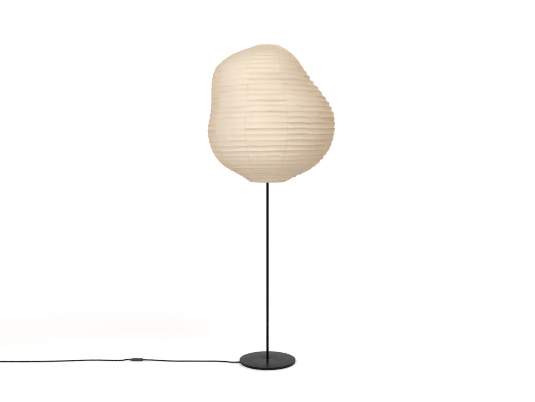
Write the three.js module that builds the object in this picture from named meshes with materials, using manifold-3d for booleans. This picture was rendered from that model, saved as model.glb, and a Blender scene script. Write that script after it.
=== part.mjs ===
// Paper lantern floor lamp: a stone-shaped paper lantern over a wire rib spiral, held open by a
// wire stretcher on a slim black pole, with a round flat base and a mains cord with a switch.
// Lengths are in millimetres. +Z is up, X runs along the photographed width and -Y faces the
// viewer. The origin is the middle of the floor face of the pad under the base.
import * as THREE from 'three';
import { mergeVertices } from 'three/addons/utils/BufferGeometryUtils.js';
import Module from 'manifold-3d';

const wasm = await Module();
wasm.setup();

// Clearances that many pieces share
const FIT_GAP = 0.3;
const CUT_OVERRUN = 1;
const RUNNING_GAP = 0.1;
const FLOOR_GAP = 0.1;

// Base
const PLATE_R = 132;
const PLATE_THICKNESS = 9.2;
const PLATE_EDGE_R = 1.2;
const PAD_INSET = 3;
const PAD_R = PLATE_R - PAD_INSET;
const PAD_THICKNESS = 2.5;
const PLATE_WEB = 3.7;
const RECESS_R = 34;
const WASHER_R = 11;
const WASHER_THICKNESS = 0.8;
const NUT_R = 8.4;
const NUT_THICKNESS = 2.3;

// Pole
const POLE_R = 6;
const POLE_WALL = 1;
const POLE_SPLIT_Z = 437;
const POLE_TOP_Z = 862;
const TUBE_BORE_R = 3.4;
const THREAD_ENGAGEMENT = 20;

// Lampholder
const CAP_NECK_R = 9;
const CAP_NECK_HEIGHT = 6;
const CAP_R = 20;
const CAP_FLARE_HEIGHT = 12;
const CAP_RIM_HEIGHT = 7;
const CAP_WALL = 2;
const HOLDER_FLANGE_R = 23.5;
const HOLDER_FLANGE_THICKNESS = 1.9;
const HOLDER_THREAD_R = 19.5;
const HOLDER_BORE_R = 17.5;
const HOLDER_THREAD_HEIGHT = 35;
const SHADE_RING_R = 28.5;
const SHADE_RING_HEIGHT = 5.5;
const SHADE_RING_LIP_R = 23;
const INSERT_R = 17;
const INSERT_FLOOR = 8;
const INSERT_HEIGHT = 38;
const SHELL_WALL = 0.7;
const SHELL_HEIGHT = 23;
const SHELL_STAND = 3;
const CONTACT_R = 3.5;
const CONTACT_HEIGHT = 3;

// Bulb
const BULB_CAP_R = 13.2;
const BULB_CAP_HEIGHT = 22;
const BULB_INSULATOR_R = 9;
const BULB_INSULATOR_HEIGHT = 2.7;
const BULB_TIP_R = 4.5;
const BULB_TIP_HEIGHT = 2;
const BULB_HOUSING_FOOT_R = 14.5;
const BULB_HOUSING_R = 28;
const BULB_HOUSING_HEIGHT = 36;
const BULB_GLOBE_R = 30;
const BULB_NECK_SHARES = [0.06, 0.22, 0.5, 0.78, 0.94];

// Lantern. Each outline row gives a height as a share of the lantern height, then the reach to
// the right, back, left and front as shares of half the nominal width.
const LANTERN_BOTTOM_Z = 849;
const LANTERN_HEIGHT = 615;
const LANTERN_HALF_WIDTH = 293;
const LANTERN_BOTTOM_END_R = 81;
const LANTERN_TOP_END_R = 62;
const PAPER_WALL = 1.2;
const RIB_PITCH = 24.2;
const RIB_R = 1;
const RING_WIRE_R = 1.5;
const LANTERN_SIDES = 28;
const OUTLINE_SHARES = [
  [0.047, 0.494, 0.47, 0.437, 0.45],
  [0.115, 0.751, 0.73, 0.681, 0.70],
  [0.205, 0.925, 0.90, 0.843, 0.86],
  [0.294, 1.017, 0.975, 0.918, 0.94],
  [0.390, 1.058, 0.99, 0.939, 0.965],
  [0.496, 1.043, 0.955, 0.901, 0.95],
  [0.584, 0.966, 0.895, 0.877, 0.90],
  [0.673, 0.826, 0.85, 0.874, 0.835],
  [0.761, 0.680, 0.80, 0.862, 0.77],
  [0.850, 0.546, 0.70, 0.788, 0.665],
  [0.938, 0.402, 0.49, 0.550, 0.48],
];

// Stretcher
const STRETCHER_WIRE_R = 1.75;
const HUB_THICKNESS = 1.5;
const HUB_R = 30;
const UPRIGHT_INSET = 12;
const STRETCHER_BEND_R = 9;
const ARM_LAND = 10;
const WIRE_SIDES = 6;
const BEND_STEPS = 4;

// Cord and what is on it
const CORD_R = 3;
const CORE_R = 1.1;
const CORE_OFFSET = 1.7;
const CORE_BEND_R = 3;
const CORE_SIDES = 6;
const EXIT_Y = -24;
const CHANNEL_WIDTH = 10;
const GROMMET_R = 4.5;
const GROMMET_TIP_R = 3.5;
const GROMMET_LENGTH = 26;
const GROMMET_SEAT = 9;
const CLAMP_X = -76;
const CLAMP_LENGTH = 28;
const CLAMP_WIDTH = 9;
const CLAMP_THICKNESS = 1;
const CLAMP_SCREW_PITCH = 20;
const CLAMP_SCREW_R = 1.3;
const CLAMP_SCREW_HEAD_R = 2.6;
const CLAMP_SCREW_HEAD = 0.6;
const CLAMP_SCREW_DEPTH = 5;

// Switch
const SWITCH_X = -617;
const SWITCH_Y = 14.5;
const SWITCH_TURN = -0.06;
const SWITCH_LENGTH = 56;
const SWITCH_WIDTH = 21;
const SWITCH_HEIGHT = 10.6;
const SWITCH_CORNER = 6;
const SWITCH_WALL = 1.6;
const SWITCH_SIDES = 4;
const ROCKER_LENGTH = 19;
const ROCKER_WIDTH = 9.4;
const ROCKER_PROUD = 1.4;
const ROCKER_DIP = 0.8;
const ROCKER_BELOW_PIN = 1.8;
const ROCKER_GAP = 0.9;
const ROCKER_TILT = 0.12;
const PIN_R = 1;
const PIN_LENGTH = 14;
const PIN_Z = 7.1;
const POST_THICKNESS = 1.8;
const RELIEF_R = 4;
const RELIEF_TIP_R = 3.4;
const RELIEF_SEAT = 8;
const RELIEF_LENGTH = 20;
const TERMINAL_LENGTH = 5;
const TERMINAL_WIDTH = 7;
const TERMINAL_HEIGHT = 5;
const SWITCH_SCREW_X = 19.5;
const SWITCH_SCREW_Y = 7;
const SWITCH_SCREW_R = 1.1;
const SWITCH_SCREW_HEAD_R = 1.9;
const SWITCH_SCREW_HEAD = 1;

// Coil, tie and plug
const COIL_X = -1338;
const COIL_MEAN_R = 36;
const COIL_PITCH = 6.6;
const COIL_TURNS_A_LAYER = 2.625;
const COIL_STEPS = 24;
const COIL_SIDES = 6;
const TIE_THICKNESS = 1;
const TIE_WIDTH = 12;
const TIE_ANGLE = 0.9;
const TIE_GAP = 0.9;
const PLUG_BODY_LENGTH = 35;
const PLUG_BODY_WIDTH = 26;
const PLUG_NECK_WIDTH = 13;
const PLUG_THICKNESS = 13.6;
const PLUG_BEVEL = 2;
const PLUG_RELIEF_R = 4.8;
const PLUG_RELIEF_LENGTH = 24;
const PLUG_PIN_R = 2;
const PLUG_PIN_LENGTH = 19;
const PLUG_PIN_PITCH = 18.6;
const PLUG_PIN_SEAT = 6;
const PLUG_GAP_TO_TAIL = 62;

// Heights that follow from the sizes
const PLATE_BOTTOM_Z = PAD_THICKNESS + FIT_GAP;
const PLATE_TOP_Z = PLATE_BOTTOM_Z + PLATE_THICKNESS;
const PLATE_WEB_Z = PLATE_TOP_Z - PLATE_WEB;
const POLE_BORE_R = POLE_R - POLE_WALL;
const THREAD_R = POLE_BORE_R - FIT_GAP;
const WASHER_Z = PLATE_WEB_Z - FIT_GAP - WASHER_THICKNESS;
const NUT_Z = WASHER_Z - FIT_GAP - NUT_THICKNESS;
const CAP_Z = POLE_TOP_Z + FIT_GAP;
const CAP_RIM_Z = CAP_Z + CAP_NECK_HEIGHT + CAP_FLARE_HEIGHT + CAP_RIM_HEIGHT;
const HOLDER_Z = CAP_RIM_Z + FIT_GAP;
const HUB_Z = HOLDER_Z + HOLDER_FLANGE_THICKNESS + FIT_GAP;
const SHADE_RING_Z = HUB_Z + HUB_THICKNESS + FIT_GAP;
const INSERT_Z = CAP_RIM_Z - CAP_RIM_HEIGHT + FIT_GAP;
const CONTACT_Z = INSERT_Z + INSERT_FLOOR + FIT_GAP;
const SHELL_Z = INSERT_Z + INSERT_FLOOR + SHELL_STAND;
const SHELL_R = INSERT_R - CAP_WALL - FIT_GAP;
const BULB_TIP_Z = CONTACT_Z + CONTACT_HEIGHT + FIT_GAP;
const BULB_INSULATOR_Z = BULB_TIP_Z + BULB_TIP_HEIGHT + FIT_GAP;
const BULB_CAP_Z = BULB_INSULATOR_Z + BULB_INSULATOR_HEIGHT;
const BULB_HOUSING_Z = BULB_CAP_Z + BULB_CAP_HEIGHT + FIT_GAP;
const BULB_GLOBE_Z = BULB_HOUSING_Z + BULB_HOUSING_HEIGHT + FIT_GAP;
const LANTERN_TOP_Z = LANTERN_BOTTOM_Z + LANTERN_HEIGHT;
const RING_INSET = PAPER_WALL + FIT_GAP + RING_WIRE_R;
const BOTTOM_RING_R = LANTERN_BOTTOM_END_R - RING_INSET;
const TOP_RING_R = LANTERN_TOP_END_R - RING_INSET;
const BOTTOM_RING_Z = LANTERN_BOTTOM_Z + FIT_GAP;
const TOP_RING_Z = LANTERN_TOP_Z - FIT_GAP;
const RING_SEAT = RING_WIRE_R + FIT_GAP + STRETCHER_WIRE_R;
const EXIT_Z = GROMMET_R + FLOOR_GAP;
const CORD_Z = CORD_R + FLOOR_GAP;
const EXIT_X = -Math.sqrt(PLATE_R ** 2 - EXIT_Y ** 2);
const GROMMET_BACK_X = EXIT_X + GROMMET_SEAT;
const CORD_START_X = GROMMET_BACK_X - GROMMET_LENGTH - FIT_GAP;

// Finishes
const finish = (color, roughness, metalness = 0) =>
  new THREE.MeshStandardMaterial({ color, roughness, metalness });
const BLACK_METAL = finish(0x2a2a2c, 0.45, 0.3);
const PAD_FOAM = finish(0x1c1c1c, 0.95);
const STEEL = finish(0x9c9c9e, 0.35, 0.9);
const BRASS = finish(0xb9964f, 0.35, 0.9);
const BLACK_PLASTIC = finish(0x1b1b1d, 0.5);
const PORCELAIN = finish(0xe6e1d6, 0.4);
const WHITE_PLASTIC = finish(0xe9e9e6, 0.5);
const OPAL_GLASS = finish(0xf4f1ea, 0.3);
const PAPER = finish(0xe9dcc8, 0.9);
const RIB_WIRE = finish(0xd6c9b0, 0.6);
const WHITE_WIRE = finish(0xdedbd4, 0.5, 0.2);
const TEXTILE_CORD = finish(0x1d1c1b, 0.9);
const CORE_INSULATION = finish(0x6b4a32, 0.6);
const BLUE_INSULATION = finish(0x3b5f9a, 0.6);

const lamp = new THREE.Group();

// Adds one named mesh to a group
function place(group, name, geometry, material) {
  const mesh = new THREE.Mesh(geometry, material);
  mesh.name = name;
  group.add(mesh);
  return mesh;
}

// Keeps positions only, with shared vertices merged and the faces pointing out
function closed(geometry) {
  const bare = geometry.clone();
  bare.deleteAttribute('normal');
  bare.deleteAttribute('uv');
  const merged = mergeVertices(bare, 1e-4);
  const index = Array.from(merged.index.array);
  const position = merged.attributes.position;
  const corners = [new THREE.Vector3(), new THREE.Vector3(), new THREE.Vector3()];
  const kept = [];
  let volume = 0;
  for (let i = 0; i < index.length; i += 3) {
    const [a, b, c] = index.slice(i, i + 3);
    if (a === b || b === c || c === a) continue;
    kept.push(a, b, c);
    corners.forEach((corner, k) => corner.fromBufferAttribute(position, index[i + k]));
    volume += corners[0].dot(corners[1].clone().cross(corners[2]));
  }
  if (volume < 0) {
    for (let i = 0; i < kept.length; i += 3) {
      [kept[i + 1], kept[i + 2]] = [kept[i + 2], kept[i + 1]];
    }
  }
  merged.setIndex(kept);
  return merged;
}

function toSolid(geometry) {
  const mesh = closed(geometry);
  return new wasm.Manifold(new wasm.Mesh({
    numProp: 3,
    vertProperties: new Float32Array(mesh.attributes.position.array),
    triVerts: new Uint32Array(mesh.index.array),
  }));
}

function toGeometry(solid) {
  const mesh = solid.getMesh();
  const geometry = new THREE.BufferGeometry();
  geometry.setAttribute('position', new THREE.BufferAttribute(mesh.vertProperties, 3));
  geometry.setIndex(Array.from(mesh.triVerts));
  return closed(geometry);
}

function cut(body, ...tools) {
  return toGeometry(tools.reduce((solid, tool) => solid.subtract(toSolid(tool)), toSolid(body)));
}

function join(body, ...others) {
  return toGeometry(others.reduce((solid, other) => solid.add(toSolid(other)), toSolid(body)));
}

// A turned solid about Z from [radius, height] points
function turned(points, sides = 24) {
  const profile = points.map(([radius, height]) => new THREE.Vector2(radius, height));
  return closed(new THREE.LatheGeometry(profile, sides).rotateX(Math.PI / 2));
}

// A turned solid whose profile closes on itself around a hollow
function turnedRing(points, sides = 24) {
  return turned([...points, points[0]], sides);
}

function tubePiece(outer, inner, low, high, sides = 24) {
  return turnedRing([[inner, low], [outer, low], [outer, high], [inner, high]], sides);
}

function rod(radius, low, high, sides = 20) {
  return turned([[0, low], [radius, low], [radius, high], [0, high]], sides);
}

function box(width, depth, low, high) {
  return new THREE.BoxGeometry(width, depth, high - low).translate(0, 0, (low + high) / 2);
}

// A rod or turned piece that lies along X
function alongX(geometry) {
  return geometry.rotateY(Math.PI / 2);
}

// A plate with rounded corners, cut square by the given height range
function roundedPlate(length, width, corner, low, high) {
  const [x, y] = [length / 2, width / 2];
  const shape = new THREE.Shape();
  shape.moveTo(-x + corner, -y);
  shape.lineTo(x - corner, -y);
  shape.absarc(x - corner, -y + corner, corner, -Math.PI / 2, 0);
  shape.lineTo(x, y - corner);
  shape.absarc(x - corner, y - corner, corner, 0, Math.PI / 2);
  shape.lineTo(-x + corner, y);
  shape.absarc(-x + corner, y - corner, corner, Math.PI / 2, Math.PI);
  shape.lineTo(-x, -y + corner);
  shape.absarc(-x + corner, -y + corner, corner, Math.PI, Math.PI * 1.5);
  const solid = new THREE.ExtrudeGeometry(shape, {
    depth: high - low, bevelEnabled: false, curveSegments: SWITCH_SIDES,
  });
  return closed(solid.translate(0, 0, low));
}

// One unbroken tube through every given point, with flat ends
function pathTube(points, radius, sides, turn = 0) {
  const tangents = points.map((point, i) => {
    const before = points[Math.max(i - 1, 0)];
    const after = points[Math.min(i + 1, points.length - 1)];
    return after.clone().sub(before).normalize();
  });
  const seed = Math.abs(tangents[0].z) < 0.9 ? new THREE.Vector3(0, 0, 1) : new THREE.Vector3(1, 0, 0);
  let normal = seed.sub(tangents[0].clone().multiplyScalar(seed.dot(tangents[0]))).normalize();
  const vertices = [];
  points.forEach((point, i) => {
    if (i > 0) {
      const bend = new THREE.Quaternion().setFromUnitVectors(tangents[i - 1], tangents[i]);
      normal = normal.applyQuaternion(bend);
    }
    const side = tangents[i].clone().cross(normal);
    for (let k = 0; k < sides; k += 1) {
      const angle = turn + (k / sides) * Math.PI * 2;
      const vertex = point.clone();
      vertex.addScaledVector(normal, radius * Math.cos(angle));
      vertex.addScaledVector(side, radius * Math.sin(angle));
      vertices.push(vertex.x, vertex.y, vertex.z);
    }
  });
  const index = [];
  for (let i = 0; i + 1 < points.length; i += 1) {
    for (let k = 0; k < sides; k += 1) {
      const [a, b] = [i * sides + k, i * sides + (k + 1) % sides];
      index.push(a, b, b + sides, a, b + sides, a + sides);
    }
  }
  const last = (points.length - 1) * sides;
  for (let k = 1; k + 1 < sides; k += 1) {
    index.push(0, k + 1, k, last, last + k, last + k + 1);
  }
  const geometry = new THREE.BufferGeometry();
  geometry.setAttribute('position', new THREE.Float32BufferAttribute(vertices, 3));
  geometry.setIndex(index);
  return closed(geometry);
}

// Corner points of a wire route with each corner rounded by arcs of one radius
function bentRoute(corners, radius) {
  const route = [corners[0].clone()];
  for (let i = 1; i + 1 < corners.length; i += 1) {
    const into = corners[i].clone().sub(corners[i - 1]).normalize();
    const out = corners[i + 1].clone().sub(corners[i]).normalize();
    const angle = into.angleTo(out);
    const reach = radius * Math.tan(angle / 2);
    const start = corners[i].clone().addScaledVector(into, -reach);
    const sideways = out.clone().addScaledVector(into, -out.dot(into)).normalize();
    for (let k = 0; k <= BEND_STEPS; k += 1) {
      const turn = (angle * k) / BEND_STEPS;
      const point = start.clone().addScaledVector(into, radius * Math.sin(turn));
      point.addScaledVector(sideways, radius * (1 - Math.cos(turn)));
      route.push(point);
    }
  }
  route.push(corners[corners.length - 1].clone());
  return route;
}

const point = (x, y, z) => new THREE.Vector3(x, y, z);

// Base plate with its centre hole, nut recess, cord channel and clamp screw holes
function basePlate() {
  const disc = turned([
    [0, PLATE_BOTTOM_Z],
    [PLATE_R - PLATE_EDGE_R, PLATE_BOTTOM_Z],
    [PLATE_R, PLATE_BOTTOM_Z + PLATE_EDGE_R],
    [PLATE_R, PLATE_TOP_Z - PLATE_EDGE_R],
    [PLATE_R - PLATE_EDGE_R * (1 - Math.SQRT1_2), PLATE_TOP_Z - PLATE_EDGE_R * (1 - Math.SQRT1_2)],
    [PLATE_R - PLATE_EDGE_R, PLATE_TOP_Z],
    [0, PLATE_TOP_Z],
  ], 48);
  const hole = rod(THREAD_R + FIT_GAP, PLATE_BOTTOM_Z - CUT_OVERRUN, PLATE_TOP_Z + CUT_OVERRUN);
  const recess = rod(RECESS_R, PLATE_BOTTOM_Z - CUT_OVERRUN, PLATE_WEB_Z, 32);
  const channelTop = EXIT_Z + GROMMET_R + FIT_GAP;
  const channel = box(PLATE_R, CHANNEL_WIDTH, PLATE_BOTTOM_Z - CUT_OVERRUN, channelTop);
  channel.translate(-PLATE_R / 2 - RECESS_R / 2, EXIT_Y, 0);
  return cut(disc, hole, recess, channel, ...clampScrewHoles(PLATE_BOTTOM_Z - CUT_OVERRUN,
    PLATE_BOTTOM_Z + CLAMP_SCREW_DEPTH + FIT_GAP));
}

function clampScrewHoles(low, high) {
  return [-1, 1].map((side) => rod(CLAMP_SCREW_R + FIT_GAP, low, high, 12)
    .translate(CLAMP_X, EXIT_Y + (side * CLAMP_SCREW_PITCH) / 2, 0));
}

// Foam pad under the plate, whole under the middle, open along the cord and the clamp
function basePad() {
  const disc = rod(PAD_R, 0, PAD_THICKNESS, 48);
  const slot = box(PAD_R, CHANNEL_WIDTH, -CUT_OVERRUN, PAD_THICKNESS + CUT_OVERRUN);
  slot.translate(-PAD_R / 2 - RECESS_R, EXIT_Y, 0);
  const clampRoom = box(CLAMP_WIDTH + CHANNEL_WIDTH / 2, CLAMP_LENGTH + CHANNEL_WIDTH / 2,
    -CUT_OVERRUN, PAD_THICKNESS + CUT_OVERRUN).translate(CLAMP_X, EXIT_Y, 0);
  const coreRoom = rod(RECESS_R, CORE_R - FIT_GAP, PAD_THICKNESS + CUT_OVERRUN, 32);
  return cut(disc, slot, clampRoom, coreRoom);
}

// Clamp bar: two ears under the plate and a lower middle under the cord
function cordClamp() {
  const earTop = PLATE_BOTTOM_Z - FIT_GAP;
  const cordLow = EXIT_Z - CORD_R;
  const barTop = cordLow - FIT_GAP;
  const bar = box(CLAMP_WIDTH, CLAMP_LENGTH, barTop - CLAMP_THICKNESS, barTop);
  const earLength = (CLAMP_LENGTH - CHANNEL_WIDTH - CORD_R) / 2;
  const ears = [-1, 1].map((side) => box(CLAMP_WIDTH, earLength, barTop - CLAMP_THICKNESS / 2, earTop)
    .translate(0, (side * (CLAMP_LENGTH - earLength)) / 2, 0));
  const holes = clampScrewHoles(-CUT_OVERRUN, earTop + CUT_OVERRUN);
  return cut(join(bar, ...ears).translate(CLAMP_X, EXIT_Y, 0), ...holes);
}

function clampScrew(side) {
  const headTop = EXIT_Z - CORD_R - FIT_GAP - CLAMP_THICKNESS - FIT_GAP / 2;
  return turned([
    [0, headTop - CLAMP_SCREW_HEAD / 2],
    [CLAMP_SCREW_HEAD_R, headTop - CLAMP_SCREW_HEAD / 2],
    [CLAMP_SCREW_HEAD_R, headTop],
    [CLAMP_SCREW_R, headTop],
    [CLAMP_SCREW_R, PLATE_BOTTOM_Z + CLAMP_SCREW_DEPTH],
    [0, PLATE_BOTTOM_Z + CLAMP_SCREW_DEPTH],
  ], 12).translate(CLAMP_X, EXIT_Y + (side * CLAMP_SCREW_PITCH) / 2, 0);
}

// A tapered moulding along -X from its seated back end to its tip
function taperAlongX(backR, tipR, length, seat) {
  return alongX(turned([
    [0, -length],
    [tipR, -length],
    [backR, -seat],
    [backR, 0],
    [0, 0],
  ], 16));
}

const base = new THREE.Group();
lamp.add(base);
place(base, 'base_plate', basePlate(), BLACK_METAL);
place(base, 'base_pad', basePad(), PAD_FOAM);
place(base, 'base_washer',
  tubePiece(WASHER_R, THREAD_R + FIT_GAP, WASHER_Z, WASHER_Z + WASHER_THICKNESS, 24), STEEL);
place(base, 'base_nut', cut(rod(NUT_R, NUT_Z, NUT_Z + NUT_THICKNESS, 6),
  rod(THREAD_R + FIT_GAP, NUT_Z - CUT_OVERRUN, NUT_Z + NUT_THICKNESS + CUT_OVERRUN)), STEEL);
place(base, 'base_nipple',
  tubePiece(THREAD_R, TUBE_BORE_R, NUT_Z - FIT_GAP, PLATE_TOP_Z + THREAD_ENGAGEMENT, 20), STEEL);
place(base, 'cord_clamp', cordClamp(), BLACK_PLASTIC);
place(base, 'cord_clamp_screw_front', clampScrew(-1), STEEL);
place(base, 'cord_clamp_screw_back', clampScrew(1), STEEL);
place(base, 'base_grommet', taperAlongX(GROMMET_R, GROMMET_TIP_R, GROMMET_LENGTH, GROMMET_SEAT)
  .translate(GROMMET_BACK_X, EXIT_Y, EXIT_Z), BLACK_PLASTIC);

// Pole
const pole = new THREE.Group();
lamp.add(pole);
place(pole, 'pole_lower',
  tubePiece(POLE_R, POLE_BORE_R, PLATE_TOP_Z + FIT_GAP, POLE_SPLIT_Z, 20), BLACK_METAL);
place(pole, 'pole_coupler', tubePiece(THREAD_R, TUBE_BORE_R,
  POLE_SPLIT_Z - THREAD_ENGAGEMENT, POLE_SPLIT_Z + THREAD_ENGAGEMENT, 20), STEEL);
place(pole, 'pole_upper',
  tubePiece(POLE_R, POLE_BORE_R, POLE_SPLIT_Z + FIT_GAP, POLE_TOP_Z, 20), BLACK_METAL);

// Lampholder and bulb
const holder = new THREE.Group();
lamp.add(holder);
const flareZ = CAP_Z + CAP_NECK_HEIGHT;
const rimZ = flareZ + CAP_FLARE_HEIGHT;
place(holder, 'holder_nipple', tubePiece(THREAD_R, TUBE_BORE_R,
  POLE_TOP_Z - THREAD_ENGAGEMENT, flareZ + CAP_WALL, 20), STEEL);
place(holder, 'lampholder_cap', turnedRing([
  [THREAD_R + FIT_GAP, CAP_Z],
  [CAP_NECK_R, CAP_Z],
  [CAP_NECK_R, flareZ],
  [(CAP_NECK_R + CAP_R) / 2 + CAP_WALL, flareZ + CAP_FLARE_HEIGHT / 3],
  [CAP_R, rimZ],
  [CAP_R, CAP_RIM_Z],
  [CAP_R - CAP_WALL, CAP_RIM_Z],
  [CAP_R - CAP_WALL, rimZ],
  [(CAP_NECK_R + CAP_R) / 2, flareZ + CAP_FLARE_HEIGHT / 3 + CAP_WALL],
  [CAP_NECK_R - CAP_WALL, flareZ + CAP_WALL],
  [THREAD_R + FIT_GAP, flareZ + CAP_WALL],
]), BLACK_PLASTIC);
place(holder, 'lampholder_body', turnedRing([
  [HOLDER_BORE_R, HOLDER_Z],
  [HOLDER_FLANGE_R, HOLDER_Z],
  [HOLDER_FLANGE_R, HOLDER_Z + HOLDER_FLANGE_THICKNESS],
  [HOLDER_THREAD_R, HOLDER_Z + HOLDER_FLANGE_THICKNESS],
  [HOLDER_THREAD_R, HOLDER_Z + HOLDER_THREAD_HEIGHT],
  [HOLDER_BORE_R, HOLDER_Z + HOLDER_THREAD_HEIGHT],
]), BLACK_PLASTIC);
place(holder, 'shade_ring', turnedRing([
  [HOLDER_THREAD_R + FIT_GAP, SHADE_RING_Z],
  [SHADE_RING_R, SHADE_RING_Z],
  [SHADE_RING_R, SHADE_RING_Z + SHADE_RING_HEIGHT / 2],
  [SHADE_RING_LIP_R, SHADE_RING_Z + SHADE_RING_HEIGHT],
  [HOLDER_THREAD_R + FIT_GAP, SHADE_RING_Z + SHADE_RING_HEIGHT],
]), BLACK_PLASTIC);

function lampholderInsert() {
  const cup = turned([
    [0, INSERT_Z],
    [INSERT_R, INSERT_Z],
    [INSERT_R, INSERT_Z + INSERT_HEIGHT],
    [SHELL_R + FIT_GAP, INSERT_Z + INSERT_HEIGHT],
    [SHELL_R + FIT_GAP, INSERT_Z + INSERT_FLOOR],
    [0, INSERT_Z + INSERT_FLOOR],
  ]);
  const holes = [-1, 1].map((side) => rod(CORE_R + FIT_GAP, INSERT_Z - CUT_OVERRUN,
    INSERT_Z + INSERT_FLOOR / 2, 12).translate(side * CORE_OFFSET, 0, 0));
  return cut(cup, ...holes);
}

place(holder, 'lampholder_insert', lampholderInsert(), PORCELAIN);
place(holder, 'screw_shell',
  tubePiece(SHELL_R, SHELL_R - SHELL_WALL, SHELL_Z, SHELL_Z + SHELL_HEIGHT), BRASS);
place(holder, 'centre_contact', rod(CONTACT_R, CONTACT_Z, CONTACT_Z + CONTACT_HEIGHT, 16), BRASS);

const bulb = new THREE.Group();
lamp.add(bulb);
place(bulb, 'bulb_tip', rod(BULB_TIP_R, BULB_TIP_Z, BULB_TIP_Z + BULB_TIP_HEIGHT, 16), STEEL);
place(bulb, 'bulb_cap', turned([
  [0, BULB_INSULATOR_Z],
  [BULB_INSULATOR_R, BULB_INSULATOR_Z],
  [BULB_CAP_R, BULB_CAP_Z],
  [BULB_CAP_R, BULB_CAP_Z + BULB_CAP_HEIGHT],
  [0, BULB_CAP_Z + BULB_CAP_HEIGHT],
]), STEEL);

// Housing with a smooth flare from the cap to the globe
function bulbHousing() {
  const flare = BULB_HOUSING_R - BULB_HOUSING_FOOT_R;
  const side = BULB_NECK_SHARES.map((share, i, all) => [
    BULB_HOUSING_FOOT_R + flare * share,
    BULB_HOUSING_Z + (BULB_HOUSING_HEIGHT * (i + 1)) / (all.length + 1),
  ]);
  return turned([
    [0, BULB_HOUSING_Z],
    [BULB_HOUSING_FOOT_R, BULB_HOUSING_Z],
    ...side,
    [BULB_HOUSING_R, BULB_HOUSING_Z + BULB_HOUSING_HEIGHT],
    [0, BULB_HOUSING_Z + BULB_HOUSING_HEIGHT],
  ], 24);
}

// Globe: part of a ball that stands on the housing's rim
function bulbGlobe() {
  const footAngle = -Math.acos(BULB_HOUSING_R / BULB_GLOBE_R);
  const centreZ = BULB_GLOBE_Z - BULB_GLOBE_R * Math.sin(footAngle);
  const steps = 8;
  const profile = [[0, BULB_GLOBE_Z]];
  for (let i = 0; i < steps; i += 1) {
    const angle = footAngle + ((Math.PI / 2 - footAngle) * i) / steps;
    profile.push([BULB_GLOBE_R * Math.cos(angle), centreZ + BULB_GLOBE_R * Math.sin(angle)]);
  }
  profile.push([0, centreZ + BULB_GLOBE_R]);
  return turned(profile, 24);
}

place(bulb, 'bulb_housing', bulbHousing(), WHITE_PLASTIC);
place(bulb, 'bulb_globe', bulbGlobe(), OPAL_GLASS);

// Lantern outline: smooth reach in the four directions at a height share
const reachCurves = [1, 2, 3, 4].map((column) => {
  const rows = OUTLINE_SHARES.map((row) => point(row[0] * LANTERN_HEIGHT,
    row[column] * LANTERN_HALF_WIDTH, 0));
  return [point(0, LANTERN_BOTTOM_END_R, 0), ...rows, point(LANTERN_HEIGHT, LANTERN_TOP_END_R, 0)];
});

// Cubic through the rows with slopes from their neighbours
function reachAt(rows, height) {
  let k = 0;
  while (k + 2 < rows.length && rows[k + 1].x < height) k += 1;
  const slope = (i) => {
    const before = rows[Math.max(i - 1, 0)];
    const after = rows[Math.min(i + 1, rows.length - 1)];
    return (after.y - before.y) / (after.x - before.x);
  };
  const [low, high] = [rows[k], rows[k + 1]];
  const span = high.x - low.x;
  const t = (height - low.x) / span;
  const ease = t * t * (3 - 2 * t);
  const lowSlope = slope(k) * span * t * (1 - t) ** 2;
  const highSlope = slope(k + 1) * span * t * t * (1 - t);
  return low.y * (1 - ease) + high.y * ease + lowSlope - highSlope;
}

// Heights of the ribs, evenly spaced along the mean side of the lantern
function ribHeights() {
  const samples = 400;
  const lengths = [0];
  let before = LANTERN_BOTTOM_END_R;
  for (let i = 1; i <= samples; i += 1) {
    const height = (LANTERN_HEIGHT * i) / samples;
    const mean = reachCurves.reduce((sum, rows) => sum + reachAt(rows, height), 0) / 4;
    lengths.push(lengths[i - 1] + Math.hypot(mean - before, LANTERN_HEIGHT / samples));
    before = mean;
  }
  const total = lengths[samples];
  const count = Math.round(total / RIB_PITCH);
  const heights = [];
  let i = 0;
  for (let rib = 0; rib <= count; rib += 1) {
    const goal = (total * rib) / count;
    while (i < samples && lengths[i + 1] < goal) i += 1;
    const span = lengths[Math.min(i + 1, samples)] - lengths[i];
    const part = span > 0 ? (goal - lengths[i]) / span : 0;
    heights.push((LANTERN_HEIGHT * (i + part)) / samples);
  }
  return heights;
}

const RIB_HEIGHTS = ribHeights();

// Point of the paper's outer face at a height and an angle about the lantern's axis
function paperPoint(height, angle) {
  const [right, back, left, front] = reachCurves.map((rows) => reachAt(rows, height));
  const [c, s] = [Math.cos(angle), Math.sin(angle)];
  return point((c > 0 ? right : left) * c, (s > 0 ? back : front) * s, LANTERN_BOTTOM_Z + height);
}

// Direction that leads into the lantern, square to the paper
function inward(height, angle) {
  const small = RIB_PITCH / 8;
  const low = Math.max(height - small, 0);
  const high = Math.min(height + small, LANTERN_HEIGHT);
  const up = paperPoint(high, angle).sub(paperPoint(low, angle));
  const turn = Math.PI / 180;
  const around = paperPoint(height, angle + turn).sub(paperPoint(height, angle - turn));
  return up.cross(around).normalize();
}

function lanternRing(rib, depth) {
  const height = RIB_HEIGHTS[rib];
  const atEnd = rib === 0 || rib === RIB_HEIGHTS.length - 1;
  const ring = [];
  for (let k = 0; k < LANTERN_SIDES; k += 1) {
    const angle = (k / LANTERN_SIDES) * Math.PI * 2;
    const outer = paperPoint(height, angle);
    const lead = atEnd ? point(-Math.cos(angle), -Math.sin(angle), 0) : inward(height, angle);
    ring.push(outer.addScaledVector(lead, depth));
  }
  return ring;
}

const outerRings = RIB_HEIGHTS.map((height, rib) => lanternRing(rib, 0));
const innerRings = RIB_HEIGHTS.map((height, rib) => lanternRing(rib, PAPER_WALL));

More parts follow.
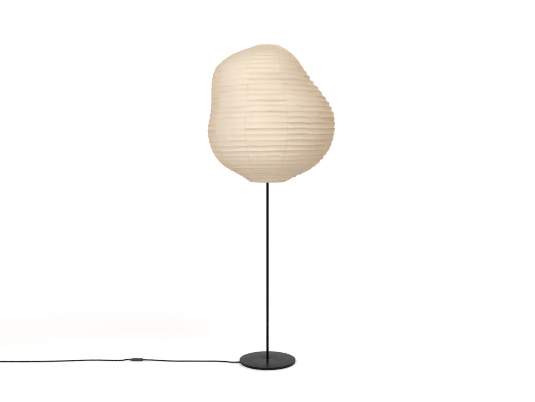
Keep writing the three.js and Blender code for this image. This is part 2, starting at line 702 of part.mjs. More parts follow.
// Paper skin: outer rings going up, then inner rings coming down, joined at both mouths
function lanternSkin() {
  const rings = [...outerRings, ...[...innerRings].reverse()];
  const vertices = rings.flat().flatMap((corner) => [corner.x, corner.y, corner.z]);
  const index = [];
  for (let i = 0; i < rings.length; i += 1) {
    const next = ((i + 1) % rings.length) * LANTERN_SIDES;
    const here = i * LANTERN_SIDES;
    for (let k = 0; k < LANTERN_SIDES; k += 1) {
      const side = (k + 1) % LANTERN_SIDES;
      index.push(here + k, here + side, next + side, here + k, next + side, next + k);
    }
  }
  const geometry = new THREE.BufferGeometry();
  geometry.setAttribute('position', new THREE.Float32BufferAttribute(vertices, 3));
  geometry.setIndex(index);
  return closed(geometry);
}

// Rib spiral: every second corner of the skin, from the first rib to the last but one
function ribSpiral() {
  const steps = LANTERN_SIDES / 2;
  const turns = RIB_HEIGHTS.length - 3;
  const route = [];
  for (let i = 0; i <= steps * turns; i += 1) {
    const rib = 1 + Math.floor(i / steps);
    const share = (i % steps) / steps;
    const side = (i % steps) * 2;
    const angle = (side / LANTERN_SIDES) * Math.PI * 2;
    const next = Math.min(rib + 1, RIB_HEIGHTS.length - 1);
    const onPaper = innerRings[rib][side].clone().lerp(innerRings[next][side], share);
    const height = onPaper.z - LANTERN_BOTTOM_Z;
    route.push(onPaper.addScaledVector(inward(height, angle), RIB_R + FIT_GAP));
  }
  return pathTube(route, RIB_R, 4);
}

function endRing(radius, z) {
  return closed(new THREE.TorusGeometry(radius, RING_WIRE_R, 5, LANTERN_SIDES).translate(0, 0, z));
}

const lantern = new THREE.Group();
lamp.add(lantern);
place(lantern, 'lantern_skin', lanternSkin(), PAPER);
place(lantern, 'rib_spiral', ribSpiral(), RIB_WIRE);
place(lantern, 'lantern_bottom_ring', endRing(BOTTOM_RING_R, BOTTOM_RING_Z), WHITE_WIRE);
place(lantern, 'lantern_top_ring', endRing(TOP_RING_R, TOP_RING_Z), WHITE_WIRE);

// Stretcher: the hub ring lies on the lampholder flange, two uprights push the top ring up and
// two arms hold the bottom ring down
const HUB_MID_Z = HUB_Z + HUB_THICKNESS / 2;
const wireStart = HUB_R + FIT_GAP;
const uprightY = TOP_RING_R - UPRIGHT_INSET;

function upright(side) {
  const route = bentRoute([
    point(0, side * wireStart, HUB_MID_Z),
    point(0, side * uprightY, HUB_MID_Z),
    point(0, side * uprightY, TOP_RING_Z - RING_SEAT),
    point(0, side * (TOP_RING_R + RING_WIRE_R), TOP_RING_Z - RING_SEAT),
  ], STRETCHER_BEND_R);
  return pathTube(route, STRETCHER_WIRE_R, WIRE_SIDES);
}

function arm(side) {
  const route = bentRoute([
    point(side * wireStart, 0, HUB_MID_Z),
    point(side * (wireStart + ARM_LAND), 0, HUB_MID_Z),
    point(side * (BOTTOM_RING_R - ARM_LAND), 0, BOTTOM_RING_Z + RING_SEAT),
    point(side * (BOTTOM_RING_R + RING_WIRE_R), 0, BOTTOM_RING_Z + RING_SEAT),
  ], STRETCHER_BEND_R);
  return pathTube(route, STRETCHER_WIRE_R, WIRE_SIDES);
}

const stretcher = new THREE.Group();
lamp.add(stretcher);
place(stretcher, 'stretcher_hub',
  tubePiece(HUB_R, HOLDER_THREAD_R + FIT_GAP, HUB_Z, HUB_Z + HUB_THICKNESS), WHITE_WIRE);
place(stretcher, 'stretcher_upright_front', upright(-1), WHITE_WIRE);
place(stretcher, 'stretcher_upright_back', upright(1), WHITE_WIRE);
place(stretcher, 'stretcher_arm_left', arm(-1), WHITE_WIRE);
place(stretcher, 'stretcher_arm_right', arm(1), WHITE_WIRE);

// Wiring inside the base and the pole
const wiring = new THREE.Group();
lamp.add(wiring);
const leadEndX = CLAMP_X + CLAMP_WIDTH * 2;
place(wiring, 'base_lead', alongX(rod(CORD_R, GROMMET_BACK_X + FIT_GAP, leadEndX, 10))
  .translate(0, EXIT_Y, EXIT_Z), TEXTILE_CORD);

// One insulated core from the end of the lead, under the nut and up to the lampholder insert
function core(side) {
  const outX = -side * CORE_OFFSET;
  const startY = EXIT_Y + side * CORE_OFFSET;
  const lowZ = CORE_R * 2;
  const route = bentRoute([
    point(leadEndX + FIT_GAP, startY, EXIT_Z),
    point(outX, startY, EXIT_Z),
    point(outX, -NUT_R - CORE_BEND_R, lowZ),
    point(outX, 0, lowZ),
    point(outX, 0, INSERT_Z + INSERT_FLOOR / 2 - FIT_GAP),
  ], CORE_BEND_R);
  return pathTube(route, CORE_R, CORE_SIDES);
}

place(wiring, 'live_core', core(1), CORE_INSULATION);
place(wiring, 'neutral_core', core(-1), BLUE_INSULATION);

// Switch, built about the middle of its lower face and laid on the cord's route
const SWITCH_MID_Z = SWITCH_HEIGHT / 2;
const RELIEF_TIP_X = SWITCH_LENGTH / 2 - RELIEF_SEAT + RELIEF_LENGTH;

function reliefHoles() {
  return [-1, 1].map((side) => alongX(rod(RELIEF_R + FIT_GAP, SWITCH_LENGTH / 2 - RELIEF_SEAT * 2,
    SWITCH_LENGTH / 2 + CUT_OVERRUN, 16)).rotateZ(side > 0 ? 0 : Math.PI)
    .translate(0, 0, SWITCH_MID_Z));
}

function screwHoles(low, high) {
  return [-1, 1].map((side) => rod(SWITCH_SCREW_R + FIT_GAP, low, high, 12)
    .translate(side * SWITCH_SCREW_X, side * SWITCH_SCREW_Y, 0));
}

function switchBase() {
  const tray = roundedPlate(SWITCH_LENGTH, SWITCH_WIDTH, SWITCH_CORNER, FLOOR_GAP,
    SWITCH_MID_Z - FIT_GAP / 2);
  const roomLength = (SWITCH_SCREW_X - SWITCH_SCREW_HEAD_R - SWITCH_WALL) * 2;
  const room = box(roomLength, SWITCH_WIDTH - SWITCH_WALL * 2, FLOOR_GAP + SWITCH_WALL,
    SWITCH_HEIGHT);
  const posts = [-1, 1].map((side) => box(PIN_R * 5, POST_THICKNESS, FLOOR_GAP + SWITCH_WALL / 2,
    PIN_Z - PIN_R - RUNNING_GAP).translate(0, side * postY(), 0));
  const heads = [-1, 1].map((side) => rod(SWITCH_SCREW_HEAD_R + FIT_GAP, -CUT_OVERRUN,
    FLOOR_GAP + SWITCH_SCREW_HEAD + FIT_GAP, 12)
    .translate(side * SWITCH_SCREW_X, side * SWITCH_SCREW_Y, 0));
  const holes = screwHoles(-CUT_OVERRUN, SWITCH_HEIGHT);
  return join(cut(tray, room, ...reliefHoles(), ...holes, ...heads), ...posts);
}

function postY() {
  return ROCKER_WIDTH / 2 + ROCKER_GAP + POST_THICKNESS / 2;
}

function switchCover() {
  const low = SWITCH_MID_Z + FIT_GAP / 2;
  const lid = roundedPlate(SWITCH_LENGTH, SWITCH_WIDTH, SWITCH_CORNER, low, SWITCH_HEIGHT);
  const roomLength = (SWITCH_SCREW_X - SWITCH_SCREW_HEAD_R - SWITCH_WALL) * 2;
  const room = box(roomLength, SWITCH_WIDTH - SWITCH_WALL * 2, 0, SWITCH_HEIGHT - SWITCH_WALL);
  const window = box(ROCKER_LENGTH + ROCKER_GAP * 2, ROCKER_WIDTH + ROCKER_GAP, 0,
    SWITCH_HEIGHT + CUT_OVERRUN);
  const holes = screwHoles(0, SWITCH_HEIGHT - SWITCH_WALL);
  return cut(lid, room, window, ...reliefHoles(), ...holes);
}

// Rocker: a dished top over a pivot boss, turned to its off position about the pin
function rocker() {
  const half = ROCKER_LENGTH / 2;
  const top = SWITCH_HEIGHT + ROCKER_PROUD - PIN_Z;
  const shape = new THREE.Shape();
  shape.moveTo(-half, -ROCKER_BELOW_PIN / 3);
  shape.lineTo(-PIN_R * 3, -ROCKER_BELOW_PIN);
  shape.lineTo(PIN_R * 3, -ROCKER_BELOW_PIN);
  shape.lineTo(half, -ROCKER_BELOW_PIN / 3);
  shape.lineTo(half, top - ROCKER_DIP / 4);
  shape.quadraticCurveTo(half / 2, top - ROCKER_DIP, 0, top - ROCKER_DIP);
  shape.quadraticCurveTo(-half / 2, top - ROCKER_DIP, -half, top - ROCKER_DIP / 4);
  const solid = new THREE.ExtrudeGeometry(shape, {
    depth: ROCKER_WIDTH, bevelEnabled: false, curveSegments: 6,
  });
  solid.translate(0, 0, -ROCKER_WIDTH / 2).rotateX(Math.PI / 2);
  const hole = rod(PIN_R + RUNNING_GAP, -SWITCH_WIDTH, SWITCH_WIDTH, 24).rotateX(Math.PI / 2);
  return cut(closed(solid), hole).rotateY(ROCKER_TILT).translate(0, 0, PIN_Z);
}

function switchScrew(side) {
  return turned([
    [0, FLOOR_GAP],
    [SWITCH_SCREW_HEAD_R, FLOOR_GAP],
    [SWITCH_SCREW_HEAD_R, FLOOR_GAP + SWITCH_SCREW_HEAD],
    [SWITCH_SCREW_R, FLOOR_GAP + SWITCH_SCREW_HEAD],
    [SWITCH_SCREW_R, SWITCH_HEIGHT - SWITCH_WALL - FIT_GAP],
    [0, SWITCH_HEIGHT - SWITCH_WALL - FIT_GAP],
  ], 12).translate(side * SWITCH_SCREW_X, side * SWITCH_SCREW_Y, 0);
}

function relief(side) {
  const piece = taperAlongX(RELIEF_R, RELIEF_TIP_R, RELIEF_LENGTH, RELIEF_SEAT);
  piece.translate(-SWITCH_LENGTH / 2 + RELIEF_SEAT, 0, 0);
  return piece.rotateZ(side > 0 ? Math.PI : 0).translate(0, 0, SWITCH_MID_Z);
}

function terminal(side) {
  const low = FLOOR_GAP + SWITCH_WALL + FIT_GAP;
  const x = SWITCH_SCREW_X - SWITCH_SCREW_HEAD_R - SWITCH_WALL - FIT_GAP - TERMINAL_LENGTH / 2;
  return closed(box(TERMINAL_LENGTH, TERMINAL_WIDTH, low, low + TERMINAL_HEIGHT)
    .translate(side * x, 0, 0));
}

const inlineSwitch = new THREE.Group();
inlineSwitch.position.set(SWITCH_X, SWITCH_Y, 0);
inlineSwitch.rotation.z = SWITCH_TURN;
lamp.add(inlineSwitch);
place(inlineSwitch, 'switch_base', switchBase(), BLACK_PLASTIC);
place(inlineSwitch, 'switch_cover', switchCover(), BLACK_PLASTIC);
place(inlineSwitch, 'switch_rocker', rocker(), BLACK_PLASTIC);
place(inlineSwitch, 'switch_pivot_pin', rod(PIN_R, -PIN_LENGTH / 2, PIN_LENGTH / 2, 24)
  .rotateX(Math.PI / 2).translate(0, 0, PIN_Z), STEEL);
place(inlineSwitch, 'switch_terminal_left', terminal(-1), BRASS);
place(inlineSwitch, 'switch_terminal_right', terminal(1), BRASS);
place(inlineSwitch, 'switch_screw_left', switchScrew(-1), STEEL);
place(inlineSwitch, 'switch_screw_right', switchScrew(1), STEEL);
place(inlineSwitch, 'switch_relief_left', relief(-1), BLACK_PLASTIC);
place(inlineSwitch, 'switch_relief_right', relief(1), BLACK_PLASTIC);

// Coil: it spirals in on the lower layer, climbs in the half turn at the middle and spirals out
const COIL_Z = CORD_R + TIE_THICKNESS + FLOOR_GAP * 2 + FIT_GAP;
const COIL_RISE = COIL_PITCH;
const COIL_TURNS = COIL_TURNS_A_LAYER * 2;
const COIL_OUTER_R = COIL_MEAN_R + (COIL_PITCH * COIL_TURNS_A_LAYER) / 2;
const COIL_ENTRY_Y = -9;
const COIL_Y = COIL_ENTRY_Y + COIL_OUTER_R;

function coilPoint(turns) {
  const fromMiddle = Math.abs(turns - COIL_TURNS_A_LAYER);
  const radius = COIL_OUTER_R - COIL_PITCH * (COIL_TURNS_A_LAYER - fromMiddle);
  const climb = THREE.MathUtils.smoothstep(turns, COIL_TURNS_A_LAYER - 1 / 4,
    COIL_TURNS_A_LAYER + 1 / 4);
  const angle = -Math.PI / 2 - turns * Math.PI * 2;
  return point(COIL_X + radius * Math.cos(angle), COIL_Y + radius * Math.sin(angle),
    COIL_Z + COIL_RISE * climb);
}

function coilRoute() {
  const count = Math.round(COIL_TURNS * COIL_STEPS);
  const turns = [];
  for (let i = 0; i <= count; i += 1) turns.push(coilPoint((COIL_TURNS * i) / count));
  const lead = turns[0].clone().sub(point(-CORD_R * 2, 0, 0));
  const heading = turns[count].clone().sub(turns[count - 1]).setZ(0).setX(0).normalize();
  const tail = turns[count].clone().addScaledVector(heading, CORD_R * 2);
  return [lead, ...turns, tail];
}

const COIL_ROUTE = coilRoute();

// Least gap between the coil's tube and itself, measured on its route's points
function coilGap() {
  let least = Infinity;
  for (let i = 0; i < COIL_ROUTE.length; i += 1) {
    for (let k = i + COIL_STEPS / 2; k < COIL_ROUTE.length; k += 1) {
      const line = new THREE.Line3(COIL_ROUTE[k - 1], COIL_ROUTE[k]);
      const nearest = line.closestPointToPoint(COIL_ROUTE[i], true, new THREE.Vector3());
      least = Math.min(least, nearest.distanceTo(COIL_ROUTE[i]) - CORD_R * 2);
    }
  }
  return least;
}

console.log('least gap of the coil to itself in mm:', coilGap().toFixed(2));

// Free stretches of cord: points chosen by hand along the floor
const towards = (x, y) => point(SWITCH_X + x * Math.cos(SWITCH_TURN) - y * Math.sin(SWITCH_TURN),
  SWITCH_Y + x * Math.sin(SWITCH_TURN) + y * Math.cos(SWITCH_TURN), SWITCH_MID_Z);
const SWITCH_RIGHT = towards(RELIEF_TIP_X + FIT_GAP, 0);
const SWITCH_LEFT = towards(-RELIEF_TIP_X - FIT_GAP, 0);
const STRAIGHT = CORD_R * 4;

const ROUTE_TO_SWITCH = [
  point(CORD_START_X, EXIT_Y, EXIT_Z),
  point(CORD_START_X - STRAIGHT, EXIT_Y + 0.6, EXIT_Z - 0.4),
  point(-176, -17.6, 3.5),
  point(-196, -10, CORD_Z),
  point(-222, -4.6, CORD_Z),
  point(-255, -2.2, CORD_Z),
  point(-300, -2.4, CORD_Z),
  point(-345, -1.6, CORD_Z),
  point(-390, -1.8, CORD_Z),
  point(-430, -1.4, CORD_Z),
  point(-465, 1.6, CORD_Z),
  point(-500, 7.6, CORD_Z),
  point(-530, 12.2, CORD_Z),
  point(-552, 14.4, 3.6),
  towards(RELIEF_TIP_X + STRAIGHT, 0).setZ(SWITCH_MID_Z - 0.5),
  SWITCH_RIGHT,
];

const ROUTE_TO_COIL = [
  SWITCH_LEFT,
  towards(-RELIEF_TIP_X - STRAIGHT, 0).setZ(SWITCH_MID_Z - 0.5),
  point(-685, 9.6, 3.6),
  point(-710, 8.8, CORD_Z),
  point(-750, 10.6, CORD_Z),
  point(-800, 13.6, CORD_Z),
  point(-850, 12.6, CORD_Z),
  point(-905, 7, CORD_Z),
  point(-965, 0.4, CORD_Z),
  point(-1030, -4.8, CORD_Z),
  point(-1100, -8, CORD_Z),
  point(-1170, -9.2, CORD_Z),
  point(-1235, -9.1, CORD_Z),
  point(-1280, COIL_ENTRY_Y, CORD_Z + 0.3),
  point(COIL_ROUTE[0].x + STRAIGHT, COIL_ENTRY_Y, COIL_Z - 0.2),
  point(COIL_ROUTE[0].x + FIT_GAP, COIL_ENTRY_Y, COIL_Z),
];

const coilEnd = COIL_ROUTE[COIL_ROUTE.length - 1];
const PLUG_Z = PLUG_THICKNESS / 2 + FLOOR_GAP;
const PLUG_TIP_Y = coilEnd.y + PLUG_GAP_TO_TAIL;
const TAIL_X = coilEnd.x;
const ROUTE_TO_PLUG = [
  point(TAIL_X, coilEnd.y + FIT_GAP, coilEnd.z),
  point(TAIL_X, coilEnd.y + STRAIGHT, coilEnd.z - 0.2),
  point(TAIL_X + 0.4, coilEnd.y + 24, 8.2),
  point(TAIL_X + 0.8, coilEnd.y + 36, 5.4),
  point(TAIL_X + 0.6, coilEnd.y + 46, 5.6),
  point(TAIL_X, PLUG_TIP_Y - CORD_R, PLUG_Z - 0.2),
  point(TAIL_X, PLUG_TIP_Y, PLUG_Z),
];

function cordRun(route) {
  const curve = new THREE.CatmullRomCurve3(route, false, 'centripetal');
  const section = new THREE.Shape();
  for (let k = 0; k < 8; k += 1) {
    const angle = (k / 8) * Math.PI * 2;
    section[k ? 'lineTo' : 'moveTo'](CORD_R * Math.cos(angle), CORD_R * Math.sin(angle));
  }
  const steps = Math.ceil(curve.getLength() / (CORD_R * 5.4));
  return closed(new THREE.ExtrudeGeometry(section, { steps, extrudePath: curve }));
}

const cord = new THREE.Group();
lamp.add(cord);
place(cord, 'cord_base_to_switch', cordRun(ROUTE_TO_SWITCH), TEXTILE_CORD);
place(cord, 'cord_switch_to_coil', cordRun(ROUTE_TO_COIL), TEXTILE_CORD);
place(cord, 'cord_coil', pathTube(COIL_ROUTE, CORD_R, COIL_SIDES), TEXTILE_CORD);
place(cord, 'cord_tail', cordRun(ROUTE_TO_PLUG), TEXTILE_CORD);

// Tie: a strap round both layers of the coil, square to its turns
function cordTie() {
  const innerR = COIL_OUTER_R - COIL_PITCH * COIL_TURNS_A_LAYER - CORD_R - TIE_GAP;
  const outerR = COIL_OUTER_R + CORD_R + TIE_GAP;
  const low = COIL_Z - CORD_R - FIT_GAP;
  const high = COIL_Z + COIL_RISE + CORD_R + FIT_GAP;
  const outer = box(outerR - innerR + TIE_THICKNESS * 2, TIE_WIDTH, low - TIE_THICKNESS,
    high + TIE_THICKNESS);
  const inner = box(outerR - innerR, TIE_WIDTH + CUT_OVERRUN, low, high);
  return cut(outer, inner).translate((innerR + outerR) / 2, 0, 0).rotateZ(TIE_ANGLE)
    .translate(COIL_X, COIL_Y, 0);
}

place(cord, 'cord_tie', cordTie(), BLACK_PLASTIC);

// Plug, built along -X from its relief tip and then turned to lie along +Y
function plugBody() {
  const [wide, neck] = [PLUG_BODY_WIDTH / 2 - PLUG_BEVEL, PLUG_NECK_WIDTH / 2 - PLUG_BEVEL];
  const [start, end] = [PLUG_BEVEL, PLUG_BODY_LENGTH - PLUG_BEVEL];
  const shape = new THREE.Shape();
  shape.moveTo(start, -neck);
  shape.bezierCurveTo(end / 2, -neck, end / 2, -wide, end - PLUG_PIN_SEAT, -wide);
  shape.lineTo(end, -wide);
  shape.lineTo(end, wide);
  shape.lineTo(end - PLUG_PIN_SEAT, wide);
  shape.bezierCurveTo(end / 2, wide, end / 2, neck, start, neck);
  const solid = closed(new THREE.ExtrudeGeometry(shape, {
    depth: PLUG_THICKNESS - PLUG_BEVEL * 2,
    bevelThickness: PLUG_BEVEL,
    bevelSize: PLUG_BEVEL,
    bevelSegments: 2,
    curveSegments: 6,
  }).translate(0, 0, PLUG_BEVEL - PLUG_THICKNESS / 2));
  const sockets = [-1, 1].map((side) => alongX(rod(PLUG_PIN_R + FIT_GAP,
    PLUG_BODY_LENGTH - PLUG_PIN_SEAT - FIT_GAP, PLUG_BODY_LENGTH + CUT_OVERRUN, 14))
    .translate(0, (side * PLUG_PIN_PITCH) / 2, 0));
  return cut(solid, ...sockets);
}

function plugPin(side) {
  const end = PLUG_BODY_LENGTH + PLUG_PIN_LENGTH;
  const pin = turned([
    [0, PLUG_BODY_LENGTH - PLUG_PIN_SEAT],
    [PLUG_PIN_R, PLUG_BODY_LENGTH - PLUG_PIN_SEAT],
    [PLUG_PIN_R, end - PLUG_PIN_R],
    [PLUG_PIN_R * 0.7, end - PLUG_PIN_R * 0.3],
    [0, end],
  ], 14);
  return alongX(pin).translate(0, (side * PLUG_PIN_PITCH) / 2, 0);
}

const plug = new THREE.Group();
plug.position.set(TAIL_X, PLUG_TIP_Y + FIT_GAP, PLUG_Z);
plug.rotation.z = Math.PI / 2;
lamp.add(plug);
const plugRelief = taperAlongX(PLUG_RELIEF_R, RELIEF_TIP_R, PLUG_RELIEF_LENGTH, RELIEF_SEAT);
place(plug, 'plug_relief', plugRelief.translate(PLUG_RELIEF_LENGTH, 0, 0), BLACK_PLASTIC);
const plugFront = new THREE.Group();
plugFront.position.x = PLUG_RELIEF_LENGTH + FIT_GAP;
plug.add(plugFront);
place(plugFront, 'plug_body', plugBody(), BLACK_PLASTIC);
place(plugFront, 'plug_pin_left', plugPin(-1), BRASS);
place(plugFront, 'plug_pin_right', plugPin(1), BRASS);

export default lamp;
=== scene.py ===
import math

import bmesh
import bpy
import numpy as np
from mathutils import Matrix, Vector, noise


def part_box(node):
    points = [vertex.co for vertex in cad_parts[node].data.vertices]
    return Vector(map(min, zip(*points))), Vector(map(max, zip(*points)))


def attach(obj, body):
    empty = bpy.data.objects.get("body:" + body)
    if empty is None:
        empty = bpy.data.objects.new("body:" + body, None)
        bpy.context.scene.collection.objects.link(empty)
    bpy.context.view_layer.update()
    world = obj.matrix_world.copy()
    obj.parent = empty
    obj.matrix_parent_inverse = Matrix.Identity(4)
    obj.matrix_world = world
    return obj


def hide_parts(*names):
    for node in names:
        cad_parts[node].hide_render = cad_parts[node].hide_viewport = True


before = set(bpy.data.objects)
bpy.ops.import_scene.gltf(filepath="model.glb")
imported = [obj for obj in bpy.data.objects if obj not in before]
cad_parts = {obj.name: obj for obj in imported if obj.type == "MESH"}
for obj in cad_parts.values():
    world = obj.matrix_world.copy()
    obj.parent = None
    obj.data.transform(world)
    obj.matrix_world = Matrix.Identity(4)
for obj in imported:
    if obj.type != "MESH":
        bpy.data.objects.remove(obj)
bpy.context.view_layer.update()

# Paper lantern floor lamp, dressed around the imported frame. Everything is in metres, apart from
# the cord's route; MM turns millimetres into metres. +Z is up, X runs along the photographed
# width, -Y faces the viewer.
MM = 0.001
TURN = 2 * math.pi

# Camera, fitted to the base's ellipse and the lantern's two mouths
CAMERA_DISTANCE = 3.180
CAMERA_HEIGHT = 0.982
CAMERA_TILT = math.radians(4.02)
CAMERA_LENS = 46.29
CAMERA_SENSOR = 36.0
PIXEL_FILTER = 1.0

# Cord in metres
CORD_R = 3.0 * MM
CORD_SIDES = 20
CORD_STEP = 0.8 * MM
BRAID_STRANDS = 8
BRAID_RELIEF = 0.14 * MM
UV_MAP = "around_along"

# Route of the cord and what lies on it, in millimetres
FLOOR_GAP = 0.1
FIT_GAP = 0.3
GROMMET_R = 4.5
EXIT_Y = -24
EXIT_Z = GROMMET_R + FLOOR_GAP
CORD_Z = 3.1
CORD_START_X = -147.1
STRAIGHT = 12
SWITCH_X = -617
SWITCH_Y = 14.5
SWITCH_TURN = -0.06
SWITCH_MID_Z = 5.3
RELIEF_TIP_X = 40
COIL_X = -1338
COIL_ENTRY_Y = -9
COIL_MEAN_R = 36
COIL_PITCH = 6.6
COIL_TURNS_A_LAYER = 2.625
COIL_TURNS = 2 * COIL_TURNS_A_LAYER
COIL_STEPS = 24
COIL_Z = 4.5
COIL_OUTER_R = COIL_MEAN_R + COIL_PITCH * COIL_TURNS_A_LAYER / 2
COIL_Y = COIL_ENTRY_Y + COIL_OUTER_R
TAIL_LENGTH = 62
PLUG_Z = 6.9


def new_object(name, data):
    made = bpy.data.objects.new(name, data)
    bpy.context.collection.objects.link(made)
    return made


def make_camera():
    data = bpy.data.cameras.new("camera")
    data.lens = CAMERA_LENS
    data.sensor_width = CAMERA_SENSOR
    data.sensor_fit = "HORIZONTAL"
    camera = new_object("camera", data)
    camera.location = (0.0, -CAMERA_DISTANCE, CAMERA_HEIGHT)
    camera.rotation_euler = (math.pi / 2 - CAMERA_TILT, 0.0, 0.0)
    bpy.context.scene.camera = camera
    bpy.context.scene.cycles.filter_width = PIXEL_FILTER


make_camera()


# Meshes

ON_AXIS = 1e-7
NEARLY_STRAIGHT = 0.02
CURVE_PIECES = 24
BLUNT_SHARE = 0.2
PLATE_CORNER_STEPS = 8
PLATE_RIM_STEPS = 5
LEAST_CORNER = 0.05 * MM


def mesh_object(name, vertices, faces, sharp=None, uvs=None):
    """A smooth-shaded closed mesh; edges that turn more than sharp degrees stay crisp."""
    mesh = bpy.data.meshes.new(name)
    mesh.from_pydata(np.asarray(vertices, float).tolist(), [], faces)
    if uvs:
        layer = mesh.uv_layers.new(name=UV_MAP)
        layer.data.foreach_set("uv", np.array(uvs, np.float32).ravel())
    builder = bmesh.new()
    builder.from_mesh(mesh)
    bmesh.ops.recalc_face_normals(builder, faces=builder.faces)
    builder.to_mesh(mesh)
    builder.free()
    shade(mesh, sharp)
    return new_object(name, mesh)


def shade(mesh, sharp):
    mesh.shade_smooth()
    if sharp is not None:
        mesh.set_sharp_from_angle(angle=math.radians(sharp))


def span(node):
    """Lowest and highest corner of a node of the frame."""
    return [Vector(corner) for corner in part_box(node)]


def paint(piece, look):
    piece.data.materials.clear()
    piece.data.materials.append(look)


def dress(piece, slot, *nodes, body="lamp", look=None):
    """Gives a new piece the look of its slot, or the look named by look, puts it on its body, and hides
    the nodes that it stands for.
    """
    paint(piece, LOOKS[look or slot])
    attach(piece, body)
    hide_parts(*nodes)
    return piece


def carve(piece, *cutters, sharp=35):
    """Cuts the cutters out of the piece and deletes them."""
    for cutter in cutters:
        cut = piece.modifiers.new("cut", "BOOLEAN")
        cut.operation = "DIFFERENCE"
        cut.solver = "EXACT"
        cut.object = cutter
    shown = piece.evaluated_get(bpy.context.evaluated_depsgraph_get())
    mesh = bpy.data.meshes.new_from_object(shown)
    piece.modifiers.clear()
    piece.data = mesh
    for cutter in cutters:
        bpy.data.objects.remove(cutter)
    shade(mesh, sharp)
    return piece


def unit(vectors):
    return vectors / np.linalg.norm(vectors, axis=-1, keepdims=True)


def eased(t):
    """0 to 1 with a soft start and end, and level outside."""
    t = np.clip(t, 0.0, 1.0)
    return t * t * (3 - 2 * t)


def rounded(points, radius, steps=5, ring=False, room=0.48):
    """A line with each corner rounded, as far as the share room of its two sides allows."""
    points = np.asarray(points, float)
    line = []
    for i, here in enumerate(points):
        if not ring and i in (0, len(points) - 1):
            line.append(here)
            continue
        into, away = here - points[i - 1], points[(i + 1) % len(points)] - here
        most = room * min(np.linalg.norm(into), np.linalg.norm(away))
        into, away = unit(into), unit(away)
        angle = math.acos(max(-1.0, min(1.0, float(into @ away))))
        if angle < NEARLY_STRAIGHT:
            line.append(here)
            continue
        reach = min(radius * math.tan(angle / 2), most)
        real = reach / math.tan(angle / 2)
        side = unit(away - into * (into @ away))
        for k in range(steps + 1):
            part = angle * k / steps
            forward = into * (real * math.sin(part) - reach)
            line.append(here + forward + side * real * (1 - math.cos(part)))
    return np.array(line)


def distances(line):
    """How far along a line each of its points lies."""
    return np.concatenate([[0], np.cumsum(np.linalg.norm(np.diff(line, axis=0), axis=1))])


def real_faces(faces):
    """The faces without repeated corners, apart from those that have no area left."""
    faces = [list(dict.fromkeys(face)) for face in faces]
    return [face for face in faces if len(face) > 2]


def bands(rows, ring=False):
    """Faces between neighbouring rows of point numbers; ring joins the last row to the first."""
    faces = []
    for low, high in zip(rows, rows[1:] + rows[:1] if ring else rows[1:]):
        faces += zip(low, low[1:] + low[:1], high[1:] + high[:1], high)
    return real_faces(faces)


def wall(inner, outer, low, high):
    """Profile of a plain turned wall; a solid rod has no inner radius."""
    return [(inner, low), (outer, low), (outer, high), (inner, high)]


def lathe(name, profile, sides=96, rim=0.0, steps=5, sharp=35, flutes=(0, 0.0, 0.0)):
    """A piece turned about Z from (radius, height) points, which is a ring unless it starts on
    the axis. rim rounds its corners. flutes are a count, a depth and the radius they start at."""
    ring = profile[0][0] > 0
    if rim:
        profile = rounded(profile, rim, steps, ring)
    count, depth, start = flutes
    vertices = []
    rows = []
    for radius, height in profile:
        first = len(vertices)
        if radius < ON_AXIS:
            rows.append([first] * sides)
            vertices.append((0.0, 0.0, height))
            continue
        for k in range(sides):
            angle = TURN * k / sides
            sunk = depth * (0.5 - 0.5 * math.cos(count * angle)) ** 2 if radius > start else 0.0
            reach = radius - sunk
            vertices.append((reach * math.cos(angle), reach * math.sin(angle), height))
        rows.append(list(range(first, first + sides)))
    return mesh_object(name, vertices, bands(rows, ring), sharp)


def rod(radius, low, high, sides):
    """A round cutter about Z."""
    return lathe("rod", wall(0, radius, low, high), sides)


def smooth_line(points, step):
    """Evenly stepped points on a centripetal Catmull-Rom curve through the points."""
    given = [Vector(p) for p in points]
    given = [given[0] * 2 - given[1], *given, given[-1] * 2 - given[-2]]
    fine = []
    for p0, p1, p2, p3 in zip(given, given[1:], given[2:], given[3:]):
        d0, d1, d2 = ((b - a).length ** 0.5 for a, b in ((p0, p1), (p1, p2), (p2, p3)))
        leave = ((p1 - p0) / d0 - (p2 - p0) / (d0 + d1) + (p2 - p1) / d1) * d1
        arrive = ((p2 - p1) / d1 - (p3 - p1) / (d1 + d2) + (p3 - p2) / d2) * d1
        for k in range(CURVE_PIECES):
            t = k / CURVE_PIECES
            spot = p1 * (2 * t**3 - 3 * t**2 + 1) + p2 * (3 * t**2 - 2 * t**3)
            fine.append(spot + leave * (t**3 - 2 * t**2 + t) + arrive * (t**3 - t**2))
    fine.append(given[-2])
    fine = np.array([tuple(p) for p in fine])
    along = distances(fine)
    count = max(int(round(along[-1] / step)), 2)
    even = np.linspace(0, along[-1], count + 1)
    return np.stack([np.interp(even, along, fine[:, axis]) for axis in range(3)], axis=1)


def tube(name, line, radius, sides, relief=None, round_ends=False, sharp=None):
    """A closed tube along a line that starts off level, with a UV map of turns around and metres
    along. relief gives each point's rise above the radius from these two."""
    tangents = unit(np.gradient(line, axis=0))
    along = distances(line)
    normal = np.array([0.0, 0.0, 1.0])
    turns = np.arange(sides) / sides
    rings = []
    for spot, tangent, metres in zip(line, tangents, along):
        normal = unit(normal - tangent * (normal @ tangent))
        side = np.cross(tangent, normal)
        reach = radius + (relief(turns, metres) if relief else 0.0)
        ring = np.outer(np.cos(TURN * turns), normal) + np.outer(np.sin(TURN * turns), side)
        rings.append(spot + ring * np.broadcast_to(reach, sides)[:, None])
    if round_ends:
        rings = [blunt(rings[0], line[0], -tangents[0], radius), *rings,
                 blunt(rings[-1], line[-1], tangents[-1], radius)]
        along = np.concatenate([[along[0]], along, [along[-1]]])
    uvs = []
    for low, high in zip(along, along[1:]):
        for k in range(sides):
            here, there = k / sides, (k + 1) / sides
            uvs += [(here, low), (there, low), (there, high), (here, high)]
    for metres in (along[0], along[-1]):
        uvs += [(k / sides, metres) for k in range(sides)]
    return loft(name, rings, sharp, uvs=uvs)


